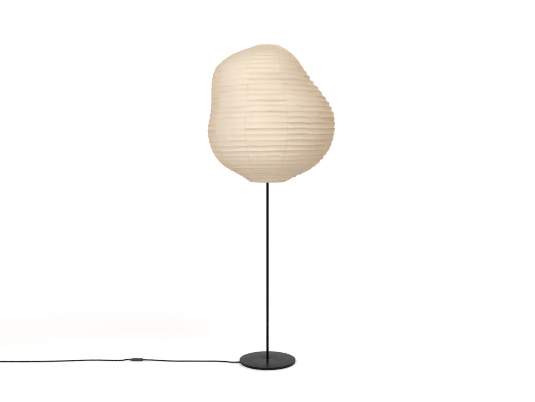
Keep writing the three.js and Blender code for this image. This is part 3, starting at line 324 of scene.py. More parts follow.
def blunt(ring, centre, outward, radius):
    """A smaller ring just past a tube's end, which rounds its rim."""
    return centre + (ring - centre) * (1 - BLUNT_SHARE) + outward * radius * BLUNT_SHARE


def loft(name, rings, sharp=None, ring=False, uvs=None):
    """Skins equal rings of points; the ends are capped unless ring joins them."""
    sides = len(rings[0])
    rows = np.arange(len(rings) * sides).reshape(-1, sides).tolist()
    caps = [] if ring else [rows[0], rows[-1]]
    return mesh_object(name, np.concatenate(rings), bands(rows, ring) + caps, sharp, uvs)


def plate_outline(length, width, corner, inset=0.0, steps=PLATE_CORNER_STEPS):
    """Points of a rounded rectangle drawn in by inset."""
    reach = max(corner - inset, LEAST_CORNER)
    outline = []
    for quarter, (x, y) in enumerate(((1, 1), (-1, 1), (-1, -1), (1, -1))):
        for k in range(steps + 1):
            angle = math.pi / 2 * (quarter + k / steps)
            outline.append((x * (length / 2 - corner) + reach * math.cos(angle),
                            y * (width / 2 - corner) + reach * math.sin(angle)))
    return outline


def rounded_plate(name, length, width, corner, low, high, low_edge, high_edge):
    """A plate with round corners, whose lower and upper rims are rounded too."""
    parts = [math.pi / 2 * k / PLATE_RIM_STEPS for k in range(PLATE_RIM_STEPS + 1)]
    rows = [(low_edge * (1 - math.sin(a)), low + low_edge * (1 - math.cos(a))) for a in parts]
    rows += [(high_edge * (1 - math.cos(a)), high - high_edge * (1 - math.sin(a))) for a in parts]
    rings = [[(x, y, z) for x, y in plate_outline(length, width, corner, inset)] for inset, z in rows]
    return loft(name, rings, sharp=40)


def block(x, y, length, width, low, high):
    """A box-shaped cutter about (x, y)."""
    corners = [(x + i * length / 2, y + j * width / 2) for i, j in ((-1, -1), (1, -1), (1, 1), (-1, 1))]
    return loft("block", [[(*corner, z) for corner in corners] for z in (low, high)])


def turned(piece, angle, axis):
    piece.data.transform(Matrix.Rotation(angle, 4, axis))
    return piece


def moved(piece, x, y, z, turn=0.0):
    turned(piece, turn, "Z")
    piece.data.transform(Matrix.Translation((x, y, z)))
    return piece


# Materials

COLOUR_INPUTS = (6, 7)
COLOUR_OUTPUT = 2


def add_node(tree, kind, inputs, output=0, **settings):
    """Adds a node and returns one of its outputs. inputs are sockets or plain values."""
    new = tree.nodes.new("ShaderNode" + kind)
    for name, value in settings.items():
        setattr(new, name, value)
    for key, value in inputs.items():
        if isinstance(value, bpy.types.NodeSocket):
            tree.links.new(value, new.inputs[key])
        else:
            new.inputs[key].default_value = value
    return new.outputs[output]


def mixed_colour(tree, factor, *colours):
    """Blends two colours, each a socket or three numbers."""
    inputs = {"Factor": factor}
    for key, colour in zip(COLOUR_INPUTS, colours):
        inputs[key] = (*colour, 1.0) if isinstance(colour, tuple) else colour
    return add_node(tree, "Mix", inputs, COLOUR_OUTPUT, data_type="RGBA")


class Surface:
    """A material around a Principled shader, and the textures that feed it."""

    def __init__(self, name, specular=0.5, **constants):
        self.material = bpy.data.materials.new(name)
        self.material.use_nodes = True
        self.tree = self.material.node_tree
        self.shader = self.tree.nodes["Principled BSDF"]
        self.shader.inputs["Specular IOR Level"].default_value = specular
        for socket, value in constants.items():
            self.shader.inputs[socket.replace("_", " ").title()].default_value = value
        self.place = add_node(self.tree, "TexCoord", {}, "Object")

    def grain(self, size, detail=3.0, roughness=0.55, distortion=0.0, squeeze=None):
        """Noise from 0 to 1 with blotches about size across; a squeeze under 1 draws them out along Z."""
        place = self.place
        if squeeze:
            place = add_node(self.tree, "Mapping", {"Vector": place, "Scale": (1.0, 1.0, squeeze)})
        return add_node(self.tree, "TexNoise", {"Vector": place, "Scale": 1 / size, "Detail": detail,
                                                "Roughness": roughness, "Distortion": distortion})

    def math(self, operation, *values):
        return add_node(self.tree, "Math", dict(enumerate(values)), operation=operation)

    def added(self, first, first_share, second, second_share):
        """Two values added in shares."""
        return self.math("ADD", self.math("MULTIPLY", first, first_share),
                         self.math("MULTIPLY", second, second_share))

    def remap(self, value, low, high, from_low=0.0, from_high=1.0):
        return add_node(self.tree, "MapRange", {"Value": value, "From Min": from_low,
                                                "From Max": from_high, "To Min": low, "To Max": high})

    def attribute(self, name):
        return add_node(self.tree, "Attribute", {}, "Fac", attribute_name=name)

    def feed(self, colour, rough, height, depth, strength=1.0):
        """Links the colour, the roughness and a bump of depth to the shader."""
        normal = add_node(self.tree, "Bump", {"Height": height, "Distance": depth, "Strength": strength})
        for socket, value in (("Base Color", colour), ("Roughness", rough), ("Normal", normal)):
            self.tree.links.new(value, self.shader.inputs[socket])
        return self.material


def shades(colour, share):
    """A darker and a lighter shade of a colour."""
    return tuple(c * (1 - share) for c in colour), tuple(min(c * (1 + share), 1.0) for c in colour)


# Most of the noise's values lie between these two
NOISE_SPAN = (0.3, 0.7)
BLOTCH_SHARE = 0.6
ROUGH_SPREAD = 0.06


def finish(name, colour, rough, fine, coarse, relief, share=0.12, specular=0.5, **constants):
    """A plain finish with blotches and a fine grain, whose sizes and relief are in millimetres."""
    surface = Surface(name, specular, **constants)
    blotch = surface.grain(coarse * MM, detail=2.0)
    speck = surface.grain(fine * MM, detail=4.0, roughness=0.65)
    mixed = surface.added(blotch, BLOTCH_SHARE, speck, 1 - BLOTCH_SHARE)
    tone = mixed_colour(surface.tree, surface.remap(mixed, 0.0, 1.0, *NOISE_SPAN), *shades(colour, share))
    roughness = surface.remap(mixed, rough - ROUGH_SPREAD, rough + ROUGH_SPREAD, *NOISE_SPAN)
    return surface.feed(tone, roughness, speck, relief * MM)


def brushed(name, colour, rough):
    """Turned or drawn metal with fine lines along Z and round the axis."""
    surface = Surface(name, metallic=1.0)
    lines = surface.grain(0.35 * MM, detail=2.0, squeeze=0.06)
    tone = mixed_colour(surface.tree, surface.grain(9 * MM), *shades(colour, 0.14))
    roughness = surface.remap(lines, rough - 0.08, rough + 0.1, *NOISE_SPAN)
    return surface.feed(tone, roughness, lines, 0.02 * MM)


# Painted shade of the braid: its valleys take the dark colour and its crests the light one
BRAID_VALLEY_SHADE = (0.003, 0.003, 0.003)
BRAID_LIT_CREST = (0.014, 0.0135, 0.0135)


def braided(name):
    """Black textile braid: two sets of crossing strands, in the tube's own UV map, with painted shade in
    the valleys between strands and lighter crests.
    """
    surface = Surface(name, 0.1)
    place = add_node(surface.tree, "UVMap", {}, uv_map=UV_MAP)
    turns = add_node(surface.tree, "SeparateXYZ", {"Vector": place}, "X")
    metres = add_node(surface.tree, "SeparateXYZ", {"Vector": place}, "Y")
    around = surface.math("MULTIPLY", turns, BRAID_STRANDS * math.pi)
    along = surface.math("MULTIPLY", metres, BRAID_STRANDS / (2 * CORD_R))
    strands = [surface.math("ABSOLUTE", surface.math("SINE", surface.math(way, around, along)))
               for way in ("ADD", "SUBTRACT")]
    yarn = surface.grain(0.5 * MM, detail=4.0)
    height = surface.added(surface.math("MULTIPLY", *strands), 1.0, yarn, 0.35)
    # Painted shade: darker in the valleys between strands, lighter on the crests, with a random yarn tone
    # mixed in
    tone = mixed_colour(surface.tree, surface.remap(height, 0.0, 1.0, 0.1, 1.2), BRAID_VALLEY_SHADE, BRAID_LIT_CREST)
    return surface.feed(tone, surface.remap(yarn, 0.75, 0.95), height, 0.25 * MM)


PAPER_LIGHT = (0.938, 0.926, 0.908)
PAPER_DARK = (0.905, 0.884, 0.852)
PAPER_DOUBLED = (0.860, 0.810, 0.730)
# Painted shade along each rib and round the hems, partly the tone of paper laid over the wire
PAPER_OVER_WIRE_SHADE = (0.780, 0.660, 0.520)
PAPER_THROUGH_TINT = (1.0, 0.880, 0.700)
PAPER_SHINES_THROUGH = 0.45
PAPER_FUZZ = 0.35
PAPER_FUZZ_TINT = (1.0, 0.72, 0.38, 1.0)


def paper(name):
    """Thin crinkled paper: cloudy thickness, long fibres, crinkles, seams darker where strips overlap, and
    painted shade along the ribs and hems.
    """
    surface = Surface(name, 0.6, sheen_weight=PAPER_FUZZ, sheen_roughness=0.5, sheen_tint=PAPER_FUZZ_TINT)
    tree = surface.tree
    cloud = surface.grain(70 * MM, detail=4.0, roughness=0.6)
    fibre = surface.grain(5 * MM, detail=5.0, roughness=0.7, distortion=1.4, squeeze=0.35)
    crinkle = surface.grain(16 * MM, detail=5.0, roughness=0.62, distortion=0.8)
    thickness = surface.remap(surface.added(cloud, 0.5, fibre, 0.5), 0.0, 1.0, 0.35, 0.65)
    tone = mixed_colour(tree, thickness, PAPER_DARK, PAPER_LIGHT)
    # Seams darken where two strips overlap; the rib mark paints shade along the ribs and hems
    for mark, share, colour in (("seam", 0.2, PAPER_DOUBLED), ("rib", 0.35, PAPER_OVER_WIRE_SHADE)):
        tone = mixed_colour(tree, surface.math("MULTIPLY", surface.attribute(mark), share), tone, colour)
    relief = surface.added(crinkle, 1.0, fibre, 0.3)
    surface.feed(tone, surface.remap(fibre, 0.46, 0.60), relief, 1.6 * MM, 0.8)
    tinted = add_node(tree, "VectorMath", {0: tone, 1: PAPER_THROUGH_TINT}, operation="MULTIPLY")
    glow = add_node(tree, "BsdfTranslucent", {"Color": tinted})
    lit = surface.shader.outputs["BSDF"]
    both = add_node(tree, "MixShader", {0: PAPER_SHINES_THROUGH, 1: lit, 2: glow})
    tree.links.new(both, tree.nodes["Material Output"].inputs["Surface"])
    return surface.material


# Looks by slot: colour, roughness, fine grain, blotches and relief of each plain finish
LOOKS = {
    "black_metal": finish("black_metal", (0.006, 0.006, 0.0063), 0.32, 0.9, 40, 0.03, specular=0.07),
    # The pole's black metal is a darker copy of the base's, painted shade, with a rougher and duller gloss
    "pole_black_shaded": finish("pole_black_shaded", (0.003, 0.003, 0.0033), 0.5, 0.9, 40, 0.03, specular=0.04),
    "pad_foam": finish("pad_foam", (0.012, 0.012, 0.012), 0.9, 0.6, 12, 0.2, specular=0.2),
    "black_plastic": finish("black_moulding", (0.016, 0.016, 0.017), 0.5, 0.5, 14, 0.05),
    "porcelain": finish("porcelain", (0.78, 0.74, 0.67), 0.35, 0.6, 8, 0.03, share=0.05),
    "white_plastic": finish("white_moulding", (0.80, 0.80, 0.78), 0.45, 0.6, 18, 0.03, share=0.03),
    "opal_glass": finish("opal_glass", (0.88, 0.86, 0.80), 0.16, 1.5, 20, 0.01, share=0.03,
                         coat_weight=0.4),
    "rib_wire": finish("rib_wire", (0.62, 0.54, 0.42), 0.55, 0.7, 15, 0.03),
    "white_wire": finish("white_wire", (0.70, 0.68, 0.63), 0.4, 0.8, 25, 0.01, share=0.06),
    "core_brown": finish("brown_core", (0.14, 0.06, 0.03), 0.5, 0.6, 10, 0.02),
    "core_blue": finish("blue_core", (0.04, 0.11, 0.32), 0.5, 0.6, 10, 0.02),
    "steel": brushed("zinc_plated_steel", (0.60, 0.60, 0.61), 0.34),
    "brass": brushed("brass", (0.72, 0.53, 0.24), 0.3),
    "textile_cord": braided("black_braid"),
    "paper": paper("lantern_paper"),
}


# Cords: the same points as the frame's cord, in millimetres

def towards(x, lift=0.0):
    """A point on the switch's long axis, x from its middle."""
    return (SWITCH_X + x * math.cos(SWITCH_TURN), SWITCH_Y + x * math.sin(SWITCH_TURN),
            SWITCH_MID_Z + lift)


def coil_point(turns):
    """Spirals in on the lower layer, climbs in the half turn at the middle and spirals out."""
    radius = COIL_OUTER_R - COIL_PITCH * (COIL_TURNS_A_LAYER - abs(turns - COIL_TURNS_A_LAYER))
    angle = -math.pi / 2 - turns * TURN
    return (COIL_X + radius * math.cos(angle), COIL_Y + radius * math.sin(angle),
            COIL_Z + COIL_PITCH * eased((turns - COIL_TURNS_A_LAYER) * 2 + 0.5))


COIL_COUNT = round(COIL_TURNS * COIL_STEPS)
COIL_POINTS = [coil_point(COIL_TURNS * i / COIL_COUNT) for i in range(COIL_COUNT + 1)]
TAIL_X, TAIL_Y, TAIL_Z = COIL_POINTS[-1]
TAIL_Y += 2 * CORD_R / MM
PLUG_TIP_Y = TAIL_Y + TAIL_LENGTH + FIT_GAP

ROUTE_TO_SWITCH = [
    (CORD_START_X, EXIT_Y, EXIT_Z), (CORD_START_X - STRAIGHT, EXIT_Y + 0.6, EXIT_Z - 0.4),
    (-176, -17.6, 3.5), (-196, -10, CORD_Z), (-222, -4.6, CORD_Z), (-255, -2.2, CORD_Z),
    (-300, -2.4, CORD_Z), (-345, -1.6, CORD_Z), (-390, -1.8, CORD_Z), (-430, -1.4, CORD_Z),
    (-465, 1.6, CORD_Z), (-500, 7.6, CORD_Z), (-530, 12.2, CORD_Z), (-552, 14.4, 3.6),
    towards(RELIEF_TIP_X + STRAIGHT, -0.5), towards(RELIEF_TIP_X + FIT_GAP),
]
ROUTE_TO_PLUG = [
    towards(-RELIEF_TIP_X - FIT_GAP), towards(-RELIEF_TIP_X - STRAIGHT, -0.5),
    (-685, 9.6, 3.6), (-710, 8.8, CORD_Z), (-750, 10.6, CORD_Z), (-800, 13.6, CORD_Z),
    (-850, 12.6, CORD_Z), (-905, 7, CORD_Z), (-965, 0.4, CORD_Z), (-1030, -4.8, CORD_Z),
    (-1100, -8, CORD_Z), (-1170, -9.2, CORD_Z), (-1235, -9.1, CORD_Z),
    (-1280, COIL_ENTRY_Y, CORD_Z + 0.3), (COIL_X + 18, COIL_ENTRY_Y, COIL_Z - 0.2),
    (COIL_X + 6, COIL_ENTRY_Y, COIL_Z),
    *COIL_POINTS,
    (TAIL_X, TAIL_Y, TAIL_Z), (TAIL_X, TAIL_Y + STRAIGHT, TAIL_Z - 0.2),
    (TAIL_X + 0.4, TAIL_Y + 24, 8.2), (TAIL_X + 0.8, TAIL_Y + 36, 5.4),
    (TAIL_X + 0.6, TAIL_Y + 46, 5.6), (TAIL_X, TAIL_Y + TAIL_LENGTH - 3, PLUG_Z - 0.2),
    (TAIL_X, TAIL_Y + TAIL_LENGTH, PLUG_Z),
]


def braid_relief(turns, metres):
    """Height of the crossing strands above the cord's mean radius."""
    around = turns * BRAID_STRANDS * math.pi
    along = metres * BRAID_STRANDS / (2 * CORD_R)
    return BRAID_RELIEF * (np.abs(np.sin(around + along) * np.sin(around - along)) - 0.5)


def braided_cord(name, route, *nodes):
    """A cord along a route in millimetres, and its line in metres."""
    line = smooth_line([tuple(c * MM for c in p) for p in route], CORD_STEP)
    piece = tube(name, line, CORD_R, CORD_SIDES, relief=braid_relief)
    return dress(piece, "textile_cord", *nodes), line


cord_one, line_one = braided_cord("cord_to_switch", ROUTE_TO_SWITCH, "cord_base_to_switch")
cord_two, line_two = braided_cord("cord_to_plug", ROUTE_TO_PLUG, "cord_switch_to_coil", "cord_coil",
                                  "cord_tail")


# Base

plate_low, plate_high = span("base_plate")
pad_low, pad_high = span("base_pad")
PLATE_R = plate_high.x
PLATE_EDGE = 1.2 * MM
HOLE_R = 5.0 * MM
RECESS_R = 34 * MM
WEB = 3.7 * MM
CUT_PAST = 1 * MM
LEAD_Y = EXIT_Y * MM
LEAD_Z = EXIT_Z * MM
CHANNEL_WIDTH = 10 * MM
CHANNEL_TOP = (EXIT_Z + GROMMET_R + FIT_GAP) * MM
CHANNEL_START_X = -1.2 * PLATE_R
CHANNEL_END_X = -RECESS_R / 2
CLAMP_X = -76 * MM
CLAMP_SCREW_PITCH = 20 * MM
CLAMP_SCREW_HOLE_R = 1.6 * MM
CLAMP_SCREW_DEPTH = 5.3 * MM
PAD_EDGE = 0.6 * MM
PAD_SLOT_END_X = -2 * MM
CLAMP_ROOM = (14 * MM, 33 * MM)
WELL_FLOOR = 0.8 * MM
GROMMET_TIP_R = 3.5 * MM
GROMMET_SEAT = 9 * MM
GROMMET_GROOVES = 4
RELIEF_LAND_SHARE = 0.6
RELIEF_START_SHARE = 0.35
GROOVE_SHARES = (0.0, 0.06, 0.34, 0.4)
GROOVE_DEPTH = 0.55 * MM
RELIEF_EDGE = 0.25 * MM


def channel_cutter(end_x, low, high):
    """Cuts the cord's channel from outside the rim to end_x."""
    return block((CHANNEL_START_X + end_x) / 2, LEAD_Y, end_x - CHANNEL_START_X, CHANNEL_WIDTH, low, high)


def make_base():
    low, high = plate_low.z, plate_high.z
    plate = lathe("base_disc", [
        (HOLE_R, high - WEB), (RECESS_R, high - WEB), (RECESS_R, low), (PLATE_R, low),
        (PLATE_R, high), (HOLE_R, high),
    ], sides=192, rim=PLATE_EDGE, steps=6)
    holes = [moved(rod(CLAMP_SCREW_HOLE_R, low - CUT_PAST, low + CLAMP_SCREW_DEPTH, 24),
                   CLAMP_X, LEAD_Y + side * CLAMP_SCREW_PITCH / 2, 0) for side in (-1, 1)]
    carve(plate, channel_cutter(CHANNEL_END_X, low - CUT_PAST, CHANNEL_TOP), *holes, sharp=50)
    dress(plate, "black_metal", "base_plate")

    pad = lathe("foam_pad", wall(0, pad_high.x, pad_low.z, pad_high.z), sides=160, rim=PAD_EDGE)
    top = pad_high.z + CUT_PAST
    carve(pad, channel_cutter(PAD_SLOT_END_X, -CUT_PAST, top),
          block(CLAMP_X, LEAD_Y, *CLAMP_ROOM, -CUT_PAST, top), rod(RECESS_R, WELL_FLOOR, top, 64))
    dress(pad, "pad_foam", "base_pad")


def strain_relief(name, length, back_r, tip_r, seat, grooves=5):
    """A tapered relief with grooves round it, which lies along -X from its back at the origin."""
    side = [(0, 0), (back_r, 0), (back_r, -seat)]
    taper = length - seat
    pitch = taper / (grooves + RELIEF_LAND_SHARE)
    for i in range(grooves):
        start = pitch * (i + RELIEF_START_SHARE)
        here = back_r + (tip_r - back_r) * start / taper
        there = back_r + (tip_r - back_r) * (start + pitch * GROOVE_SHARES[-1]) / taper
        for share, radius, depth in zip(GROOVE_SHARES, (here, here, there, there), (0, 1, 1, 0)):
            side.append((radius - depth * GROOVE_DEPTH, -seat - start - pitch * share))
    side += [(tip_r, -length), (0, -length)]
    return turned(lathe(name, side, sides=40, rim=RELIEF_EDGE, steps=3, sharp=60), math.pi / 2, "Y")


def make_grommet_and_lead():
    low, high = span("base_grommet")
    grommet = strain_relief("cord_grommet", high.x - low.x, GROMMET_R * MM, GROMMET_TIP_R, GROMMET_SEAT,
                            GROMMET_GROOVES)
    dress(moved(grommet, high.x, LEAD_Y, LEAD_Z), "black_plastic", "base_grommet")
    low, high = span("base_lead")
    line = smooth_line([(low.x, LEAD_Y, LEAD_Z), (high.x, LEAD_Y, LEAD_Z)], CORD_STEP)
    dress(tube("lead_in_base", line, CORD_R, CORD_SIDES, relief=braid_relief), "textile_cord", "base_lead")


make_base()
make_grommet_and_lead()


# Cores inside the base and the pole

CORE_R = 1.1 * MM
CORE_OFFSET = 1.7 * MM
CORE_BEND_R = 3 * MM
CORE_LOW_Z = 2.2 * MM
NUT_R = 8.4 * MM


def make_core(name, node, side, slot):
    low, high = span(node)
    x = -side * CORE_OFFSET
    y = LEAD_Y + side * CORE_OFFSET
    route = rounded([(low.x, y, LEAD_Z), (x, y, LEAD_Z), (x, -NUT_R - CORE_BEND_R, CORE_LOW_Z),
                     (x, 0, CORE_LOW_Z), (x, 0, high.z)], CORE_BEND_R, 8, room=1.0)
    dress(tube(name, route, CORE_R, 14, sharp=60), slot, node)


make_core("brown_core", "live_core", 1, "core_brown")
make_core("blue_core", "neutral_core", -1, "core_blue")


# Pole

POLE_EDGE = 0.3 * MM


def make_pole(name, node):
    low, high = span(node)
    radius = (high.x - low.x) / 2
    piece = lathe(name, wall(HOLE_R, radius, low.z, high.z), sides=64, rim=POLE_EDGE, steps=3)
    # The pole takes the darker copy of the black metal, which paints shade on it
    dress(piece, "black_metal", node, look="pole_black_shaded")


make_pole("lower_pole", "pole_lower")
make_pole("upper_pole", "pole_upper")


# Lampholder

CAP_NECK_R = 9 * MM
CAP_NECK_HEIGHT = 6 * MM
CAP_FLARE = 12 * MM
CAP_FLARE_POWER = 1.4
CAP_STEPS = 10
CAP_WALL = 2 * MM
CAP_CHAMFER = (0.8 * MM, 1.2 * MM)
CAP_FLOOR_SHARE = 0.32
HOLDER_BORE_R = 17.5 * MM
HOLDER_THREAD_R = 19.5 * MM
HOLDER_FLANGE = 1.9 * MM
HOLDER_PITCH = 2.6 * MM
HOLDER_THREAD_DEPTH = 0.7 * MM
HOLDER_THREAD_START = 0.2 * MM
HOLDER_EDGE = 0.3 * MM
RIDGE_POINTS = ((0.0, 1), (0.2, 1), (0.45, 0), (0.75, 0))
SHADE_RING_LIP_R = 23 * MM
SHADE_RING_EDGE = 0.6 * MM
SHADE_RING_GAP = 0.3 * MM
SHADE_RING_FLUTES = (36, 0.9 * MM, 26.5 * MM)


def make_cap():
    low, high = span("lampholder_cap")
    outer, shoulder = high.x, low.z + CAP_NECK_HEIGHT
    bell = []
    for k in range(1, CAP_STEPS + 1):
        part = k / CAP_STEPS
        radius = CAP_NECK_R + (outer - CAP_NECK_R) * math.sin(part * math.pi / 2)
        bell.append((radius, shoulder + CAP_FLARE * part**CAP_FLARE_POWER))
    profile = [
        (HOLE_R, low.z), (CAP_NECK_R, low.z), (CAP_NECK_R, shoulder), *bell,
        (outer, high.z - CAP_CHAMFER[1]), (outer - CAP_CHAMFER[0], high.z), (outer - CAP_WALL, high.z),
        *[(radius - CAP_WALL, z + CAP_WALL / 3) for radius, z in bell[::-1]],
        (HOLE_R, low.z + (high.z - low.z) * CAP_FLOOR_SHARE),
    ]
    dress(lathe("holder_cap", profile, sharp=50), "black_plastic", "lampholder_cap")


def ridges(radius, low, high):
    """Outer side of the threaded wall, from low to high."""
    count = int((high - low) / HOLDER_PITCH)
    side = [(radius - HOLDER_THREAD_DEPTH * sunk, low + (i + share) * HOLDER_PITCH)
            for i in range(count) for share, sunk in RIDGE_POINTS]
    foot = radius - HOLDER_THREAD_DEPTH
    return [*side, (foot, low + count * HOLDER_PITCH), (foot, high)]


def make_holder():
    low, high = span("lampholder_body")
    flange = low.z + HOLDER_FLANGE
    profile = [(HOLDER_BORE_R, low.z), (high.x, low.z), (high.x, flange),
               *ridges(HOLDER_THREAD_R, flange + HOLDER_THREAD_START, high.z), (HOLDER_BORE_R, high.z)]
    body = lathe("holder_body", profile, rim=HOLDER_EDGE, steps=2, sharp=50)
    dress(body, "black_plastic", "lampholder_body")

    low, high = span("shade_ring")
    inner = HOLDER_THREAD_R + SHADE_RING_GAP
    profile = [(inner, low.z), (high.x, low.z), (high.x, (low.z + high.z) / 2),
               (SHADE_RING_LIP_R, high.z), (inner, high.z)]
    ring = lathe("holder_ring", profile, sides=288, rim=SHADE_RING_EDGE, steps=4, sharp=50,
                 flutes=SHADE_RING_FLUTES)
    dress(ring, "black_plastic", "shade_ring")


# Bulb

BULB_PITCH = 3.6 * MM
BULB_COLLAR = 2.7 * MM
BULB_COLLAR_R = 9 * MM
BULB_SHOULDER = 1.2 * MM
BULB_THREAD_DEPTH = 1.1 * MM
BULB_THREAD_STEPS = 6
BULB_THREAD_END = 1.5 * MM
BULB_RIM = (0.9 * MM, 0.3 * MM)
HOUSING_FOOT_R = 14.5 * MM
HOUSING_CHAMFER = 0.8 * MM
HOUSING_RIM = ((0.0, 1.6 * MM), (0.5 * MM, 0.8 * MM), (0.6 * MM, 0.0))
HOUSING_STEPS = 16
GLOBE_R = 30 * MM
GLOBE_STEPS = 28


def make_bulb():
    low, high = span("bulb_cap")
    profile = [(0, low.z), (BULB_COLLAR_R, low.z), (high.x - BULB_SHOULDER, low.z + BULB_COLLAR)]
    z = low.z + BULB_COLLAR
    while z + BULB_PITCH < high.z - BULB_THREAD_END:
        for k in range(BULB_THREAD_STEPS):
            part = k / BULB_THREAD_STEPS
            sunk = BULB_THREAD_DEPTH * (1 + math.cos(TURN * part)) / 2
            profile.append((high.x - sunk, z + BULB_PITCH * part))
        z += BULB_PITCH
    profile += [(high.x - BULB_RIM[0], z), (high.x - BULB_RIM[1], high.z), (0, high.z)]
    dress(lathe("bulb_screw_cap", profile, sharp=60), "steel", "bulb_cap", body="bulb")

    low, high = span("bulb_housing")
    profile = [(0, low.z), (HOUSING_FOOT_R - HOUSING_CHAMFER, low.z),
               (HOUSING_FOOT_R, low.z + HOUSING_CHAMFER)]
    for k in range(1, HOUSING_STEPS):
        part = k / HOUSING_STEPS
        radius = HOUSING_FOOT_R + (high.x - HOUSING_FOOT_R) * eased(part)
        profile.append((radius, low.z + (high.z - low.z) * part))
    profile += [(high.x - inset, high.z - drop) for inset, drop in HOUSING_RIM]
    profile.append((0, high.z))
    dress(lathe("bulb_shell", profile, sharp=50), "white_plastic", "bulb_housing", body="bulb")

    low, high = span("bulb_globe")
    centre = high.z - GLOBE_R
    foot_angle = math.asin((low.z - centre) / GLOBE_R)
    profile = [(0, low.z)]
    for k in range(GLOBE_STEPS):
        angle = foot_angle + (math.pi / 2 - foot_angle) * k / GLOBE_STEPS
        profile.append((GLOBE_R * math.cos(angle), centre + GLOBE_R * math.sin(angle)))
    profile.append((0, high.z))
    dress(lathe("bulb_opal", profile, sharp=50), "opal_glass", "bulb_globe", body="bulb")


make_cap()
make_holder()
make_bulb()


# Lantern

LANTERN_BOTTOM = 849 * MM
LANTERN_HEIGHT = 615 * MM
LANTERN_HALF_WIDTH = 293 * MM
BOTTOM_END_R = 81 * MM
TOP_END_R = 62 * MM
BOTTOM_RING_R = 78 * MM
TOP_RING_R = 59 * MM
RING_WIRE_R = 1.5 * MM
RING_SIDES = 160
RING_WIRE_SIDES = 12
BOTTOM_RING_Z = LANTERN_BOTTOM + FIT_GAP * MM
TOP_RING_Z = LANTERN_BOTTOM + LANTERN_HEIGHT - FIT_GAP * MM
RIB_COUNT = 33
RIB_R = 0.85 * MM
RIB_DEPTH = 1.0 * MM
PAPER_WALL = 0.5 * MM
HEM_DEPTH = 8 * MM
HEM_GAPS = (0.65 * MM, 0.15 * MM)
HEM_TUCK = 0.4 * MM
HEM_TURNS = (35, 62, 90, 118, 150, 180)
# Painted shade on the lower and upper hem; the lower hem, which faces down, gets more
HEM_SHADE = (2.3, 0.5)
MOUTH_EASE = 12 * MM
SLOPE_STEP = 3 * MM
SLOPE_TURN = 0.01
SIDE_STEPS = 401

# Strips of paper: an overlap's points in degrees, and how far it stands out
SEAM_COUNT = 10
SEAM_START = math.radians(-2)
SEAM_STEPS = (0.0, 0.14, 0.9, 1.7, 1.84)
SEAM_RISE = 0.2 * MM
STRIP = TURN / SEAM_COUNT
STRIP_COLUMNS = 20

# Sag of the paper between two ribs: its depth, how it varies, and where a rib's rows lie
SAG = 4.6 * MM
RIDGE_SHARE = 0.07
SLACK_HEIGHT_SHARES = (0.0, 0.25, 0.45, 0.76, 0.86, 1.0)
SLACK_BY_HEIGHT_SHARES = (0.65, 0.8, 1.3, 1.3, 0.4, 0.1)
SLACK_LEFT = 0.55
SLACK_RIGHT = 1.4
SLACK_CHANCE = 1.5
SEAM_EASE = 0.06
CHANCE_STEPS = (12.99, 78.23)
CHANCE_SPREAD = 437.58
OUTER_PHASES = (0.0, 0.06, 0.15, 0.31, 0.5, 0.69, 0.85, 0.94)
INNER_PHASES = (0.0, 0.25, 0.75)
END_FADE = (0.1, 1.0)
END_EDGE = 0.02
JUST_ABOVE = 0.01
JUST_PAST = 1e-6
RIB_SHADE_MARGIN = 0.9

# Uneven forms: height, then the size and seed of the noise, and its squeeze along Z
WAVER = ((0.10, 60 * MM, 3.1, 1.0), (0.06, 22 * MM, 8.2, 1.0))
SLACK_NOISE = ((0.6, 85 * MM, 5.7, 1.0), (0.7, 110 * MM, 9.3, 4.0))
DENT = ((1.1 * MM, 120 * MM, 2.4, 1.0), (0.55 * MM, 45 * MM, 6.6, 1.0))
PUCKER = ((0.8 * MM, 17 * MM, 1.9, 0.45),)
PUCKER_ON_RIBS = 0.35

# Rows of the lantern's height share, then the reach right, back, left and front as shares of
# half the nominal width
OUTLINE_SHARES = (
    (0.047, 0.494, 0.47, 0.437, 0.45),
    (0.115, 0.751, 0.73, 0.681, 0.70),
    (0.205, 0.925, 0.90, 0.843, 0.86),
    (0.294, 1.017, 0.975, 0.918, 0.94),
    (0.390, 1.058, 0.99, 0.939, 0.965),
    (0.496, 1.043, 0.955, 0.901, 0.95),
    (0.584, 0.966, 0.895, 0.877, 0.90),
    (0.673, 0.826, 0.85, 0.874, 0.835),
    (0.761, 0.680, 0.80, 0.862, 0.77),
    (0.850, 0.546, 0.70, 0.788, 0.665),
    (0.938, 0.402, 0.49, 0.550, 0.48),
)


def reach_at(column, heights):
    """The lantern's reach in one direction, a cubic through the rows."""
    xs = np.array([0.0, *[row[0] for row in OUTLINE_SHARES], 1.0]) * LANTERN_HEIGHT
    rows = [row[column] * LANTERN_HALF_WIDTH for row in OUTLINE_SHARES]
    ys = np.array([BOTTOM_END_R, *rows, TOP_END_R])
    before = np.maximum(np.arange(len(xs)) - 1, 0)
    after = np.minimum(np.arange(len(xs)) + 1, len(xs) - 1)
    slopes = (ys[after] - ys[before]) / (xs[after] - xs[before])
    k = np.clip(np.searchsorted(xs, heights, side="right") - 1, 0, len(xs) - 2)
    width = xs[k + 1] - xs[k]
    t = (heights - xs[k]) / width
    bend = slopes[k] * width * t * (1 - t) ** 2 - slopes[k + 1] * width * t * t * (1 - t)
    return ys[k] * (1 - eased(t)) + ys[k + 1] * eased(t) + bend


def paper_point(heights, angles):
    right, back, left, front = (reach_at(column, heights) for column in (1, 2, 3, 4))
    c, s = np.cos(angles), np.sin(angles)
    return np.stack([np.where(c > 0, right, left) * c, np.where(s > 0, back, front) * s,
                     LANTERN_BOTTOM + heights], axis=-1)


